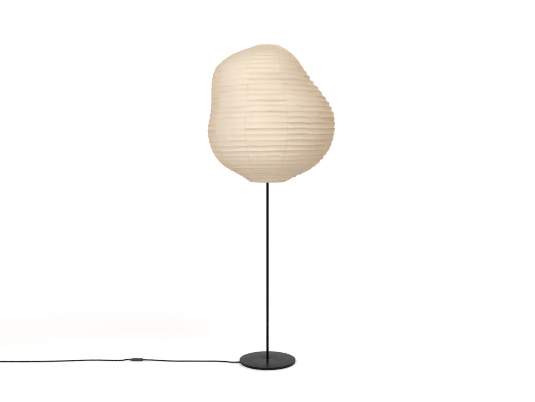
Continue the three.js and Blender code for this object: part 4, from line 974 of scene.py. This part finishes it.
def inward(heights, angles):
    """Directions that lead into the lantern, square to the smooth paper; level at the mouths."""
    low, high = np.maximum(heights - SLOPE_STEP, 0), np.minimum(heights + SLOPE_STEP, LANTERN_HEIGHT)
    up = paper_point(high, angles) - paper_point(low, angles)
    around = paper_point(heights, angles + SLOPE_TURN) - paper_point(heights, angles - SLOPE_TURN)
    level = np.stack([-np.cos(angles), -np.sin(angles), 0 * angles], axis=-1)
    share = np.clip(np.minimum(heights, LANTERN_HEIGHT - heights) / MOUTH_EASE, 0, 1)[..., None]
    return unit(unit(np.cross(up, around)) * share + level * (1 - share))


SIDE_HEIGHTS = np.linspace(0, LANTERN_HEIGHT, SIDE_STEPS)
MEAN_REACH = sum(reach_at(column, SIDE_HEIGHTS) for column in (1, 2, 3, 4)) / 4
SIDE_ALONG = distances(np.stack([MEAN_REACH, SIDE_HEIGHTS], axis=1))


def height_of(ribs):
    """Height above the lower mouth of a rib number, which may lie between ribs. The ribs are
    evenly spaced along the lantern's mean side."""
    ribs = np.clip(ribs, 0, RIB_COUNT)
    return np.interp(ribs / RIB_COUNT * SIDE_ALONG[-1], SIDE_ALONG, SIDE_HEIGHTS)


def column_angles():
    """Angles of the mesh's columns: each strip has its overlap's edges and even steps."""
    lap = math.radians(SEAM_STEPS[-1])
    steps = [math.radians(step) for step in SEAM_STEPS]
    steps += [lap + (STRIP - lap) * i / STRIP_COLUMNS for i in range(1, STRIP_COLUMNS)]
    angles = [SEAM_START + STRIP * k + step for k in range(SEAM_COUNT) for step in steps]
    return np.sort(np.mod(np.array(angles), TURN))


def seam_share(angles):
    """1 on the overlap of two strips, 0 beside it."""
    turned_by = np.degrees(np.mod(angles - SEAM_START + JUST_PAST, STRIP))
    return np.interp(turned_by, [SEAM_STEPS[i] for i in (0, 1, 3, 4)], [0, 1, 1, 0])


def noise_at(points, *waves):
    """Smooth noise at points, as a sum of waves."""
    total = 0.0
    for height, size, seed, squeeze in waves:
        offset = Vector((seed, seed * 0.7, -seed * 1.3))
        places = points * np.array([1.0, 1.0, squeeze])
        total = total + height * np.array([noise.noise(Vector(p) / size + offset) for p in places])
    return total


def end_fade(ribs):
    """Fades unevenness out towards a mouth."""
    return eased((ribs - END_FADE[0]) / (END_FADE[1] - END_FADE[0]))


def strip_slack(ribs, angles):
    """How loosely each strip hangs between two ribs, eased across the seams."""
    strips = np.mod((angles - SEAM_START) / STRIP, SEAM_COUNT)
    strip = np.floor(strips)
    between = np.floor(ribs)
    here = strips - strip
    other = np.where(here < 0.5, strip - 1, strip + 1)
    own_share = 0.5 + 0.5 * np.clip(np.minimum(here, 1 - here) / SEAM_EASE, 0.0, 1.0)
    return own_share * strip_chance(strip, between) + (1 - own_share) * strip_chance(other, between)


def strip_chance(strip, between):
    """A repeatable number from 0 to 1 for each strip's stretch between two ribs."""
    mixed = np.mod(strip, SEAM_COUNT) * CHANCE_STEPS[0] + between * CHANCE_STEPS[1]
    return np.mod(np.sin(mixed) * CHANCE_SPREAD, 1)


def paper_places(ribs, phases, angles, depth):
    """Points of the paper at rib numbers and angles, with the sag between ribs, dents, puckers
    and strip overlaps. depth is the distance into the paper."""
    rough = paper_point(height_of(ribs), angles)
    fade = end_fade(ribs) * end_fade(RIB_COUNT - ribs)
    heights = height_of(ribs + noise_at(rough, *WAVER) * fade)
    wave = np.sqrt(np.sin(math.pi * phases) ** 2 + RIDGE_SHARE**2) - RIDGE_SHARE
    slack = 1 + noise_at(rough, *SLACK_NOISE)
    slack = slack * (1 + SLACK_CHANCE * (strip_slack(ribs - phases + JUST_ABOVE, angles) - 0.5))
    slack = slack * np.interp(heights / LANTERN_HEIGHT, SLACK_HEIGHT_SHARES, SLACK_BY_HEIGHT_SHARES)
    slack = slack * (SLACK_LEFT + (SLACK_RIGHT - SLACK_LEFT) * (1 + np.cos(angles)) / 2)
    pucker = noise_at(rough, *PUCKER) * (PUCKER_ON_RIBS + wave)
    uneven = SAG * slack * wave + pucker + noise_at(rough, *DENT) - SEAM_RISE * seam_share(angles)
    return paper_point(heights, angles) + inward(heights, angles) * (uneven * fade + depth)[..., None]


def helix_sheet(phases, depth, angles, start):
    """Paper rows that climb one rib a turn and end level at both mouths. Returns points, faces,
    the two mouths' point numbers, and each point's share of painted rib shade; numbers count from start."""
    columns = len(angles)
    rows = len(phases)
    spots = [(rib, 0.0, angle) for rib in (0.0, float(RIB_COUNT)) for angle in angles]
    ends = [list(range(start + side * columns, start + (side + 1) * columns)) for side in (0, 1)]
    numbers = {}

    def number(row, column):
        if column == columns:
            row, column = row + rows, 0
        turn, phase = divmod(row, rows)
        rib = turn + phases[phase] + angles[column] / TURN
        if rib <= END_EDGE:
            return ends[0][column]
        if rib >= RIB_COUNT - END_EDGE:
            return ends[1][column]
        if (row, column) not in numbers:
            numbers[row, column] = start + len(spots)
            spots.append((rib, phases[phase], angles[column]))
        return numbers[row, column]

    faces = real_faces([
        [number(row + up, column + on) for up, on in ((0, 0), (0, 1), (1, 1), (1, 0))]
        for row in range(-rows - 1, RIB_COUNT * rows + 1) for column in range(columns)
    ])
    ribs, shares, places = np.array(spots).T
    # Rows that lie on a rib get painted shade
    rib_shade_rows = (shares == 0) & (ribs > RIB_SHADE_MARGIN) & (ribs < RIB_COUNT - RIB_SHADE_MARGIN)
    return paper_places(ribs, shares, places, depth), faces, ends, rib_shade_rows.astype(float)


def hem_rings(angles, ring_r, ring_z, sign, radius):
    """Level rings that lead the paper round an end ring's wire and back inside."""
    rings = [(ring_r + radius * math.cos(part), ring_z + sign * radius * math.sin(part))
             for part in map(math.radians, HEM_TURNS)]
    rings += [(ring_r - radius, ring_z - sign * HEM_DEPTH / 2),
              (ring_r - radius + HEM_TUCK, ring_z - sign * HEM_DEPTH)]
    return [np.stack([reach * np.cos(angles), reach * np.sin(angles), 0 * angles + z], axis=-1)
            for reach, z in rings]


def make_paper():
    angles = column_angles()
    columns = len(angles)
    outer, outer_faces, outer_ends, outer_rib_shade = helix_sheet(OUTER_PHASES, 0.0, angles, 0)
    inner, inner_faces, inner_ends, inner_rib_shade = helix_sheet(INNER_PHASES, PAPER_WALL, angles, len(outer))
    points = [outer, inner]
    ribs = [outer_rib_shade, inner_rib_shade]
    faces = outer_faces + [face[::-1] for face in inner_faces]
    count = len(outer) + len(inner)
    for side, ring_r, ring_z in ((0, BOTTOM_RING_R, BOTTOM_RING_Z), (1, TOP_RING_R, TOP_RING_Z)):
        outside, inside = (hem_rings(angles, ring_r, ring_z, 2 * side - 1, RING_WIRE_R + gap)
                           for gap in HEM_GAPS)
        rings = [*outside, *inside[::-1]]
        rows = np.arange(count, count + len(rings) * columns).reshape(-1, columns).tolist()
        faces += bands([outer_ends[side], *rows, inner_ends[side]])
        points += rings
        ribs.append(np.full(len(rings) * columns, HEM_SHADE[side]))
        count += len(rings) * columns
    points = np.concatenate(points)
    piece = mesh_object("paper_shade", points, faces)
    around = np.arctan2(points[:, 1], points[:, 0])
    # The rib attribute carries the painted shade of the ribs and hems
    for name, values in (("seam", seam_share(around)), ("rib", np.concatenate(ribs))):
        layer = piece.data.attributes.new(name, "FLOAT", "POINT")
        layer.data.foreach_set("value", values.astype(np.float32))
    dress(piece, "paper", "lantern_skin")


def make_rib_wire():
    angles = column_angles()
    turned_by = np.concatenate([angles + TURN * k for k in range(RIB_COUNT - 2)])
    ribs = 1 + turned_by / TURN
    line = paper_places(ribs, 0 * ribs, np.mod(turned_by, TURN), PAPER_WALL + RIB_DEPTH)
    dress(tube("rib_helix", line, RIB_R, 6), "rib_wire", "rib_spiral")


def make_end_ring(name, node, ring_r, z):
    parts = [TURN * k / RING_WIRE_SIDES for k in range(RING_WIRE_SIDES)]
    profile = [(ring_r + RING_WIRE_R * math.cos(part), z + RING_WIRE_R * math.sin(part)) for part in parts]
    dress(lathe(name, profile, sides=RING_SIDES, sharp=None), "white_wire", node)


make_paper()
make_rib_wire()
make_end_ring("bottom_wire_ring", "lantern_bottom_ring", BOTTOM_RING_R, BOTTOM_RING_Z)
make_end_ring("top_wire_ring", "lantern_top_ring", TOP_RING_R, TOP_RING_Z)


# Stretcher

hub_low, hub_high = span("stretcher_hub")
HUB_BORE_R = 19.8 * MM
HUB_EDGE = 0.4 * MM
HUB_MID_Z = (hub_low.z + hub_high.z) / 2
WIRE_START = hub_high.x + FIT_GAP * MM
WIRE_R = 1.75 * MM
WIRE_BEND = 9 * MM
WIRE_END_INSET = RING_WIRE_R + 1.2 * MM
RING_SEAT = RING_WIRE_R + FIT_GAP * MM + WIRE_R
UPRIGHT_R = TOP_RING_R - 12 * MM
UPRIGHT_ROUTE = (
    (WIRE_START, HUB_MID_Z), (UPRIGHT_R, HUB_MID_Z), (UPRIGHT_R, TOP_RING_Z - RING_SEAT),
    (TOP_RING_R - WIRE_END_INSET, TOP_RING_Z - RING_SEAT),
)
ARM_LAND = 10 * MM
ARM_ROUTE = (
    (WIRE_START, HUB_MID_Z), (WIRE_START + ARM_LAND, HUB_MID_Z),
    (BOTTOM_RING_R - ARM_LAND, BOTTOM_RING_Z + RING_SEAT),
    (BOTTOM_RING_R - WIRE_END_INSET, BOTTOM_RING_Z + RING_SEAT),
)


def make_stretcher():
    profile = wall(HUB_BORE_R, hub_high.x, hub_low.z, hub_high.z)
    hub = lathe("hub_washer", profile, rim=HUB_EDGE, steps=3, sharp=60)
    dress(hub, "white_wire", "stretcher_hub")
    wires = (("upright", "front", UPRIGHT_ROUTE, 0, -1), ("upright", "back", UPRIGHT_ROUTE, 0, 1),
             ("arm", "left", ARM_ROUTE, -1, 0), ("arm", "right", ARM_ROUTE, 1, 0))
    for kind, where, route, x, y in wires:
        line = rounded([(x * out, y * out, z) for out, z in route], WIRE_BEND, 10, room=1.0)
        wire = tube(f"{kind}_wire_{where}", line, WIRE_R, 16, round_ends=True, sharp=60)
        dress(wire, "white_wire", f"stretcher_{kind}_{where}")


make_stretcher()


# Switch: built about the middle of its lower face, then laid on the cord

SWITCH_LENGTH = 56 * MM
SWITCH_WIDTH = 21 * MM
SWITCH_HEIGHT = 10.6 * MM
SWITCH_CORNER = 6 * MM
SWITCH_WALL = 1.6 * MM
SWITCH_FLOOR = FLOOR_GAP * MM
SWITCH_MIDDLE = SWITCH_MID_Z * MM
SWITCH_HALF_GAP = 0.15 * MM
SWITCH_EDGES = (1.2 * MM, 0.25 * MM, 2.2 * MM)
SWITCH_ROOM = (28.8 * MM, SWITCH_WIDTH - 2 * SWITCH_WALL)
RELIEF_R = 4 * MM
RELIEF_TIP = 3.4 * MM
RELIEF_SEAT = 8 * MM
RELIEF_LENGTH = 20 * MM
RELIEF_BORE_START = -9 * MM
ROCKER_LENGTH = 19 * MM
ROCKER_WIDTH = 9.4 * MM
ROCKER_GAP = 0.9 * MM
ROCKER_TILT = 0.12
ROCKER_TOP = SWITCH_HEIGHT + 1.4 * MM
ROCKER_DIP = 0.8 * MM
ROCKER_DIP_RISE_SHARE = 0.75
ROCKER_BELOW = 1.8 * MM
ROCKER_STEPS = 16
ROCKER_CORNER = 0.45 * MM
ROCKER_EDGE = 0.4 * MM
ROCKER_EDGE_SHARE = 0.3
PIN_R = 1 * MM
PIN_GAP = 0.1 * MM
PIN_Z = 7.1 * MM
SWITCH_SCREW_X = 19.5 * MM
SWITCH_SCREW_Y = 7 * MM
SWITCH_SCREW_R = 1.4 * MM
SCREW_HEAD_R = 2.2 * MM
SCREW_HEAD_DEPTH = 1.4 * MM


def on_switch(piece):
    return moved(piece, SWITCH_X * MM, SWITCH_Y * MM, 0, SWITCH_TURN)


def switch_cutters(*screws):
    """The two relief bores, and a screw bore at both places for each radius, low and high."""
    cutters = []
    for side in (-1, 1):
        bore = turned(rod(RELIEF_R + FIT_GAP * MM, RELIEF_BORE_START, RELIEF_SEAT, 40), math.pi / 2, "Y")
        cutters.append(moved(bore, side * SWITCH_LENGTH / 2 - CUT_PAST, 0, SWITCH_MIDDLE))
    for screw in screws:
        cutters += [moved(rod(*screw, 24), side * SWITCH_SCREW_X, side * SWITCH_SCREW_Y, 0)
                    for side in (-1, 1)]
    return cutters


def make_switch():
    size = (SWITCH_LENGTH, SWITCH_WIDTH, SWITCH_CORNER)
    foot, edge, top = SWITCH_EDGES
    tray = rounded_plate("switch_tray", *size, SWITCH_FLOOR, SWITCH_MIDDLE - SWITCH_HALF_GAP, foot, edge)
    carve(tray, block(0, 0, *SWITCH_ROOM, SWITCH_FLOOR + SWITCH_WALL, SWITCH_HEIGHT),
          *switch_cutters((SWITCH_SCREW_R, -CUT_PAST, SWITCH_HEIGHT),
                          (SCREW_HEAD_R, -CUT_PAST, SCREW_HEAD_DEPTH)))
    dress(on_switch(tray), "black_plastic", "switch_base")

    lid = rounded_plate("switch_lid", *size, SWITCH_MIDDLE + SWITCH_HALF_GAP, SWITCH_HEIGHT, edge, top)
    ceiling = SWITCH_HEIGHT - SWITCH_WALL
    window = (ROCKER_LENGTH + 2 * ROCKER_GAP, ROCKER_WIDTH + ROCKER_GAP)
    carve(lid, block(0, 0, *SWITCH_ROOM, 0, ceiling), block(0, 0, *window, 0, SWITCH_HEIGHT + CUT_PAST),
          *switch_cutters((SWITCH_SCREW_R, 0, ceiling)))
    dress(on_switch(lid), "black_plastic", "switch_cover")

    for turn, where in ((0.0, "left"), (math.pi, "right")):
        piece = strain_relief("switch_sleeve_" + where, RELIEF_LENGTH, RELIEF_R, RELIEF_TIP, RELIEF_SEAT)
        moved(piece, -SWITCH_LENGTH / 2 + RELIEF_SEAT, 0, 0)
        moved(piece, 0, 0, SWITCH_MIDDLE, turn)
        dress(on_switch(piece), "black_plastic", "switch_relief_" + where)


def make_rocker():
    half, top = ROCKER_LENGTH / 2, ROCKER_TOP - PIN_Z
    outline = [(-half, -ROCKER_BELOW / 3), (-PIN_R * 3, -ROCKER_BELOW), (PIN_R * 3, -ROCKER_BELOW),
               (half, -ROCKER_BELOW / 3)]
    for k in range(ROCKER_STEPS + 1):
        share = 1 - 2 * k / ROCKER_STEPS
        outline.append((half * share, top - ROCKER_DIP * (1 - ROCKER_DIP_RISE_SHARE * share**2)))
    outline = rounded(outline, ROCKER_CORNER, 3, ring=True)
    middle = np.mean(outline, axis=0)
    shifts = outline - middle
    reaches = np.linalg.norm(shifts, axis=1)[:, None]
    near = ROCKER_EDGE * ROCKER_EDGE_SHARE
    insets = ((0, ROCKER_EDGE), (near, near), (ROCKER_EDGE, 0))
    sides = [(-ROCKER_WIDTH / 2 + y, inset) for y, inset in insets]
    sides += [(-y, inset) for y, inset in sides[::-1]]
    rings = []
    for y, inset in sides:
        ring = shifts * (reaches - inset) / reaches + middle
        rings.append([(x, y, z) for x, z in ring])
    piece = loft("rocker_key", rings, sharp=40)
    carve(piece, turned(rod(PIN_R + PIN_GAP, -SWITCH_WIDTH, SWITCH_WIDTH, 32), math.pi / 2, "X"))
    moved(turned(piece, ROCKER_TILT, "Y"), 0, 0, PIN_Z)
    dress(on_switch(piece), "black_plastic", "switch_rocker", body="rocker")


make_switch()
make_rocker()


# Tie round the coil

TIE_THICKNESS = 1.0 * MM
TIE_WIDTH = 12 * MM
TIE_ANGLE = 0.9
TIE_GAP = 0.9 * MM
TIE_CORNER = 3.2 * MM
TIE_EDGE = 0.3 * MM
TIE_INNER_R = (COIL_OUTER_R - COIL_PITCH * COIL_TURNS_A_LAYER) * MM - CORD_R - TIE_GAP
TIE_OUTER_R = COIL_OUTER_R * MM + CORD_R + TIE_GAP
TIE_LOW = (COIL_Z - FIT_GAP) * MM - CORD_R
TIE_HIGH = (COIL_Z + COIL_PITCH + FIT_GAP) * MM + CORD_R


def make_tie():
    loops = [plate_outline(TIE_OUTER_R - TIE_INNER_R + 2 * grown, TIE_HIGH - TIE_LOW + 2 * grown,
                           TIE_CORNER + grown, steps=6) for grown in (0.0, TIE_THICKNESS)]
    half, near = TIE_WIDTH / 2, TIE_WIDTH / 2 - TIE_EDGE
    rings = []
    for inner, outer in np.swapaxes(loops, 0, 1):
        away = unit(outer - inner) * TIE_EDGE
        spots = ((inner + away, -half), (inner, -near), (inner, near), (inner + away, half),
                 (outer - away, half), (outer, near), (outer, -near), (outer - away, -half))
        rings.append([(x, y, z) for (x, z), y in spots])
    piece = loft("cord_strap", rings, ring=True, sharp=50)
    moved(piece, (TIE_INNER_R + TIE_OUTER_R) / 2, 0, (TIE_LOW + TIE_HIGH) / 2)
    moved(piece, COIL_X * MM, COIL_Y * MM, 0, TIE_ANGLE)
    return dress(piece, "black_plastic", "cord_tie")


tie = make_tie()


# Plug: built along X from its relief's tip, then laid along +Y

PLUG_LENGTH = 35 * MM
PLUG_WIDTH = 26 * MM
PLUG_NECK = 13 * MM
PLUG_THICKNESS = 13.6 * MM
PLUG_EDGE = 1.4 * MM
PLUG_STEPS = 26
PLUG_SIDES = 48
PLUG_POWER = 2 / 4.2
PLUG_SWELL_SHARES = (0.05, 0.8)
PLUG_GRIP_SHARES = (0.28, 0.62)
PLUG_GRIP_DEPTH = 0.7 * MM
PLUG_RELIEF_LENGTH = 24 * MM
PLUG_RELIEF_R = 4.8 * MM
PLUG_START = PLUG_RELIEF_LENGTH + FIT_GAP * MM
PLUG_PIN_R = 2 * MM
PLUG_PIN_LENGTH = 19 * MM
PLUG_PIN_PITCH = 18.6 * MM
PLUG_PIN_SEAT = 6 * MM
PLUG_PIN_STEPS = 8


def on_plug(piece):
    return moved(piece, TAIL_X * MM, PLUG_TIP_Y * MM, PLUG_Z * MM, math.pi / 2)


def plug_section(x, width, thickness):
    """A rounded four-sided section across the plug."""
    ring = []
    for k in range(PLUG_SIDES):
        c, s = math.cos(TURN * k / PLUG_SIDES), math.sin(TURN * k / PLUG_SIDES)
        ring.append((x, math.copysign(abs(c) ** PLUG_POWER, c) * width / 2,
                     math.copysign(abs(s) ** PLUG_POWER, s) * thickness / 2))
    return ring


def make_plug():
    rings = []
    swell_from, swell_to = PLUG_SWELL_SHARES
    grip_from, grip_to = PLUG_GRIP_SHARES
    for k in range(PLUG_STEPS + 1):
        part = k / PLUG_STEPS
        x = PLUG_LENGTH * part
        swell = eased((part - swell_from) / (swell_to - swell_from))
        width = PLUG_NECK + (PLUG_WIDTH - PLUG_NECK) * swell
        if grip_from < part < grip_to and k % 3 == 0:
            width -= PLUG_GRIP_DEPTH
        past = max(PLUG_EDGE - x, x - PLUG_LENGTH + PLUG_EDGE, 0.0)
        shrink = PLUG_EDGE - math.sqrt(PLUG_EDGE**2 - past**2)
        rings.append(plug_section(x, width - 2 * shrink, PLUG_THICKNESS - 2 * shrink))
    shell = moved(loft("plug_shell", rings, sharp=60), PLUG_START, 0, 0)
    pin_x = PLUG_START + PLUG_LENGTH - PLUG_PIN_SEAT
    sockets = [moved(turned(rod(PLUG_PIN_R + FIT_GAP * MM, 0, PLUG_PIN_SEAT * 2, 28), math.pi / 2, "Y"),
                     pin_x - FIT_GAP * MM, side * PLUG_PIN_PITCH / 2, 0) for side in (-1, 1)]
    carve(shell, *sockets, sharp=50)
    dress(on_plug(shell), "black_plastic", "plug_body")

    sleeve = strain_relief("plug_sleeve", PLUG_RELIEF_LENGTH, PLUG_RELIEF_R, RELIEF_TIP, RELIEF_SEAT)
    moved(sleeve, PLUG_RELIEF_LENGTH, 0, 0)
    dress(on_plug(sleeve), "black_plastic", "plug_relief")

    length = PLUG_PIN_SEAT + PLUG_PIN_LENGTH
    profile = [(0, 0), (PLUG_PIN_R, 0)]
    for k in range(PLUG_PIN_STEPS):
        angle = math.pi / 2 * k / PLUG_PIN_STEPS
        profile.append((PLUG_PIN_R * math.cos(angle), length - PLUG_PIN_R * (1 - math.sin(angle))))
    profile.append((0, length))
    pins = []
    for side, where in ((-1, "left"), (1, "right")):
        pin = turned(lathe("pin_" + where, profile, sides=32, sharp=60), math.pi / 2, "Y")
        moved(pin, pin_x, side * PLUG_PIN_PITCH / 2, 0)
        pins.append(dress(on_plug(pin), "brass", "plug_pin_" + where))
    return [sleeve, shell, *pins]


plug_pieces = make_plug()

# The switch's pieces
SWITCH_PIECES = [bpy.data.objects[name] for name in (
    "switch_tray", "switch_lid", "switch_sleeve_left", "switch_sleeve_right", "rocker_key")]
SWITCH_PIECES += [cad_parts[name] for name in (
    "switch_pivot_pin", "switch_terminal_left", "switch_terminal_right", "switch_screw_left",
    "switch_screw_right")]

# Looks of the frame's own nodes that stay
NODE_LOOKS = {
    "steel": ("base_washer", "base_nut", "base_nipple", "cord_clamp_screw_front",
              "cord_clamp_screw_back", "pole_coupler", "holder_nipple", "bulb_tip",
              "switch_pivot_pin", "switch_screw_left", "switch_screw_right"),
    "brass": ("screw_shell", "centre_contact", "switch_terminal_left", "switch_terminal_right"),
    "black_plastic": ("cord_clamp",),
    "porcelain": ("lampholder_insert",),
}
for look, names in NODE_LOOKS.items():
    for name in names:
        paint(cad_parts[name], LOOKS[look])


# Floor, backdrop and light

WHITE = (1.0, 1.0, 1.0, 1.0)
FLOOR_SIZE = 14.0
FLOOR_COLOUR = (0.78, 0.80, 0.84)
FLOOR_SEEN = (1.145, 1.17, 1.23)
FLOOR_LIFT = 0.085
FADE_SQUEEZE = (0.55, 1.0, 1.0)
FADE_START = 0.5
FADE_END = 1.4
AMBIENT = 0.10
LANTERN_MIDDLE = Vector((0.0, 0.0, 1.15))
LIGHT_DISTANCE = 3.5
LIGHT_SIZE = 1.8

# Each light's turn to the right of the camera and its rise, in degrees, then its watts and colour
LIGHTS = {
    "key": (-30, 20, 71, (0.93, 1.0, 1.0)),
    "high_fill": (40, 50, 27.5, (0.95, 1.0, 0.90)),
    "overhead": (0, 88, 4.4, (1.0, 0.80, 0.60)),
    "low_fill": (0, -12, 73, (1.0, 0.89, 0.715)),
    "left_rim": (-120, 5, 20, (1.0, 0.65, 0.48)),
    "right_rim": (120, 5, 28, (1.0, 0.775, 0.55)),
    "back_fill": (165, 30, 70, (1.0, 1.0, 1.0)),
}
MIRRORED_LIGHTS = ("key", "high_fill")


def seen_rays(tree):
    """1 for rays that show the floor and the world, 0 for those that light the object."""
    total = add_node(tree, "LightPath", {}, "Is Camera Ray")
    for name in ("Is Glossy Ray", "Is Transmission Ray"):
        ray = add_node(tree, "LightPath", {}, name)
        total = add_node(tree, "Math", {0: total, 1: ray}, operation="MAXIMUM")
    return total


def make_floor():
    """A floor that is plain and shaded near the lamp, and fades to the white world around it."""
    half = FLOOR_SIZE / 2
    mesh = bpy.data.meshes.new("floor")
    mesh.from_pydata([(-half, -half, 0), (half, -half, 0), (half, half, 0), (-half, half, 0)], [],
                     [(0, 1, 2, 3)])
    material = bpy.data.materials.new("studio_floor")
    material.use_nodes = True
    tree = material.node_tree
    tree.nodes.remove(tree.nodes["Principled BSDF"])
    seen = seen_rays(tree)
    plain = add_node(tree, "BsdfDiffuse", {"Color": mixed_colour(tree, seen, FLOOR_COLOUR, FLOOR_SEEN)})
    lifted = add_node(tree, "Math", {0: seen, 1: FLOOR_LIFT}, operation="MULTIPLY")
    near = add_node(tree, "AddShader", {0: plain, 1: add_node(tree, "Emission", {"Strength": lifted})})
    strength = add_node(tree, "MapRange", {"Value": seen, "To Min": AMBIENT})
    bright = add_node(tree, "Emission", {"Color": WHITE, "Strength": strength})
    place = add_node(tree, "TexCoord", {}, "Object")
    squeezed = add_node(tree, "Mapping", {"Vector": place, "Scale": FADE_SQUEEZE})
    length = add_node(tree, "VectorMath", {0: squeezed}, "Value", operation="LENGTH")
    fade = add_node(tree, "MapRange", {"Value": length, "From Min": FADE_START, "From Max": FADE_END},
                    interpolation_type="SMOOTHSTEP")
    mixed = add_node(tree, "MixShader", {0: fade, 1: near, 2: bright})
    tree.links.new(mixed, tree.nodes["Material Output"].inputs["Surface"])
    mesh.materials.append(material)
    new_object("floor", mesh)


def make_world():
    world = bpy.data.worlds.new("studio")
    world.use_nodes = True
    tree = world.node_tree
    background = tree.nodes["Background"]
    background.inputs["Color"].default_value = WHITE
    strength = add_node(tree, "MapRange", {"Value": seen_rays(tree), "To Min": AMBIENT})
    tree.links.new(strength, background.inputs["Strength"])
    bpy.context.scene.world = world


def studio_light(name, turn, rise, watts, colour):
    """A soft square light that faces the middle of the lantern."""
    turn, rise = math.radians(turn), math.radians(rise)
    away = Vector((math.sin(turn) * math.cos(rise), -math.cos(turn) * math.cos(rise), math.sin(rise)))
    data = bpy.data.lights.new(name, "AREA")
    data.shape = "SQUARE"
    data.size = LIGHT_SIZE
    data.energy = watts
    data.color = colour
    light = new_object(name, data)
    light.location = LANTERN_MIDDLE + away * LIGHT_DISTANCE
    light.rotation_mode = "QUATERNION"
    light.rotation_quaternion = away.to_track_quat("Z", "Y")
    light.visible_glossy = name in MIRRORED_LIGHTS


make_floor()
make_world()
for light_name, settings in LIGHTS.items():
    studio_light(light_name, *settings)

bpy.context.scene.view_settings.view_transform = "Standard"
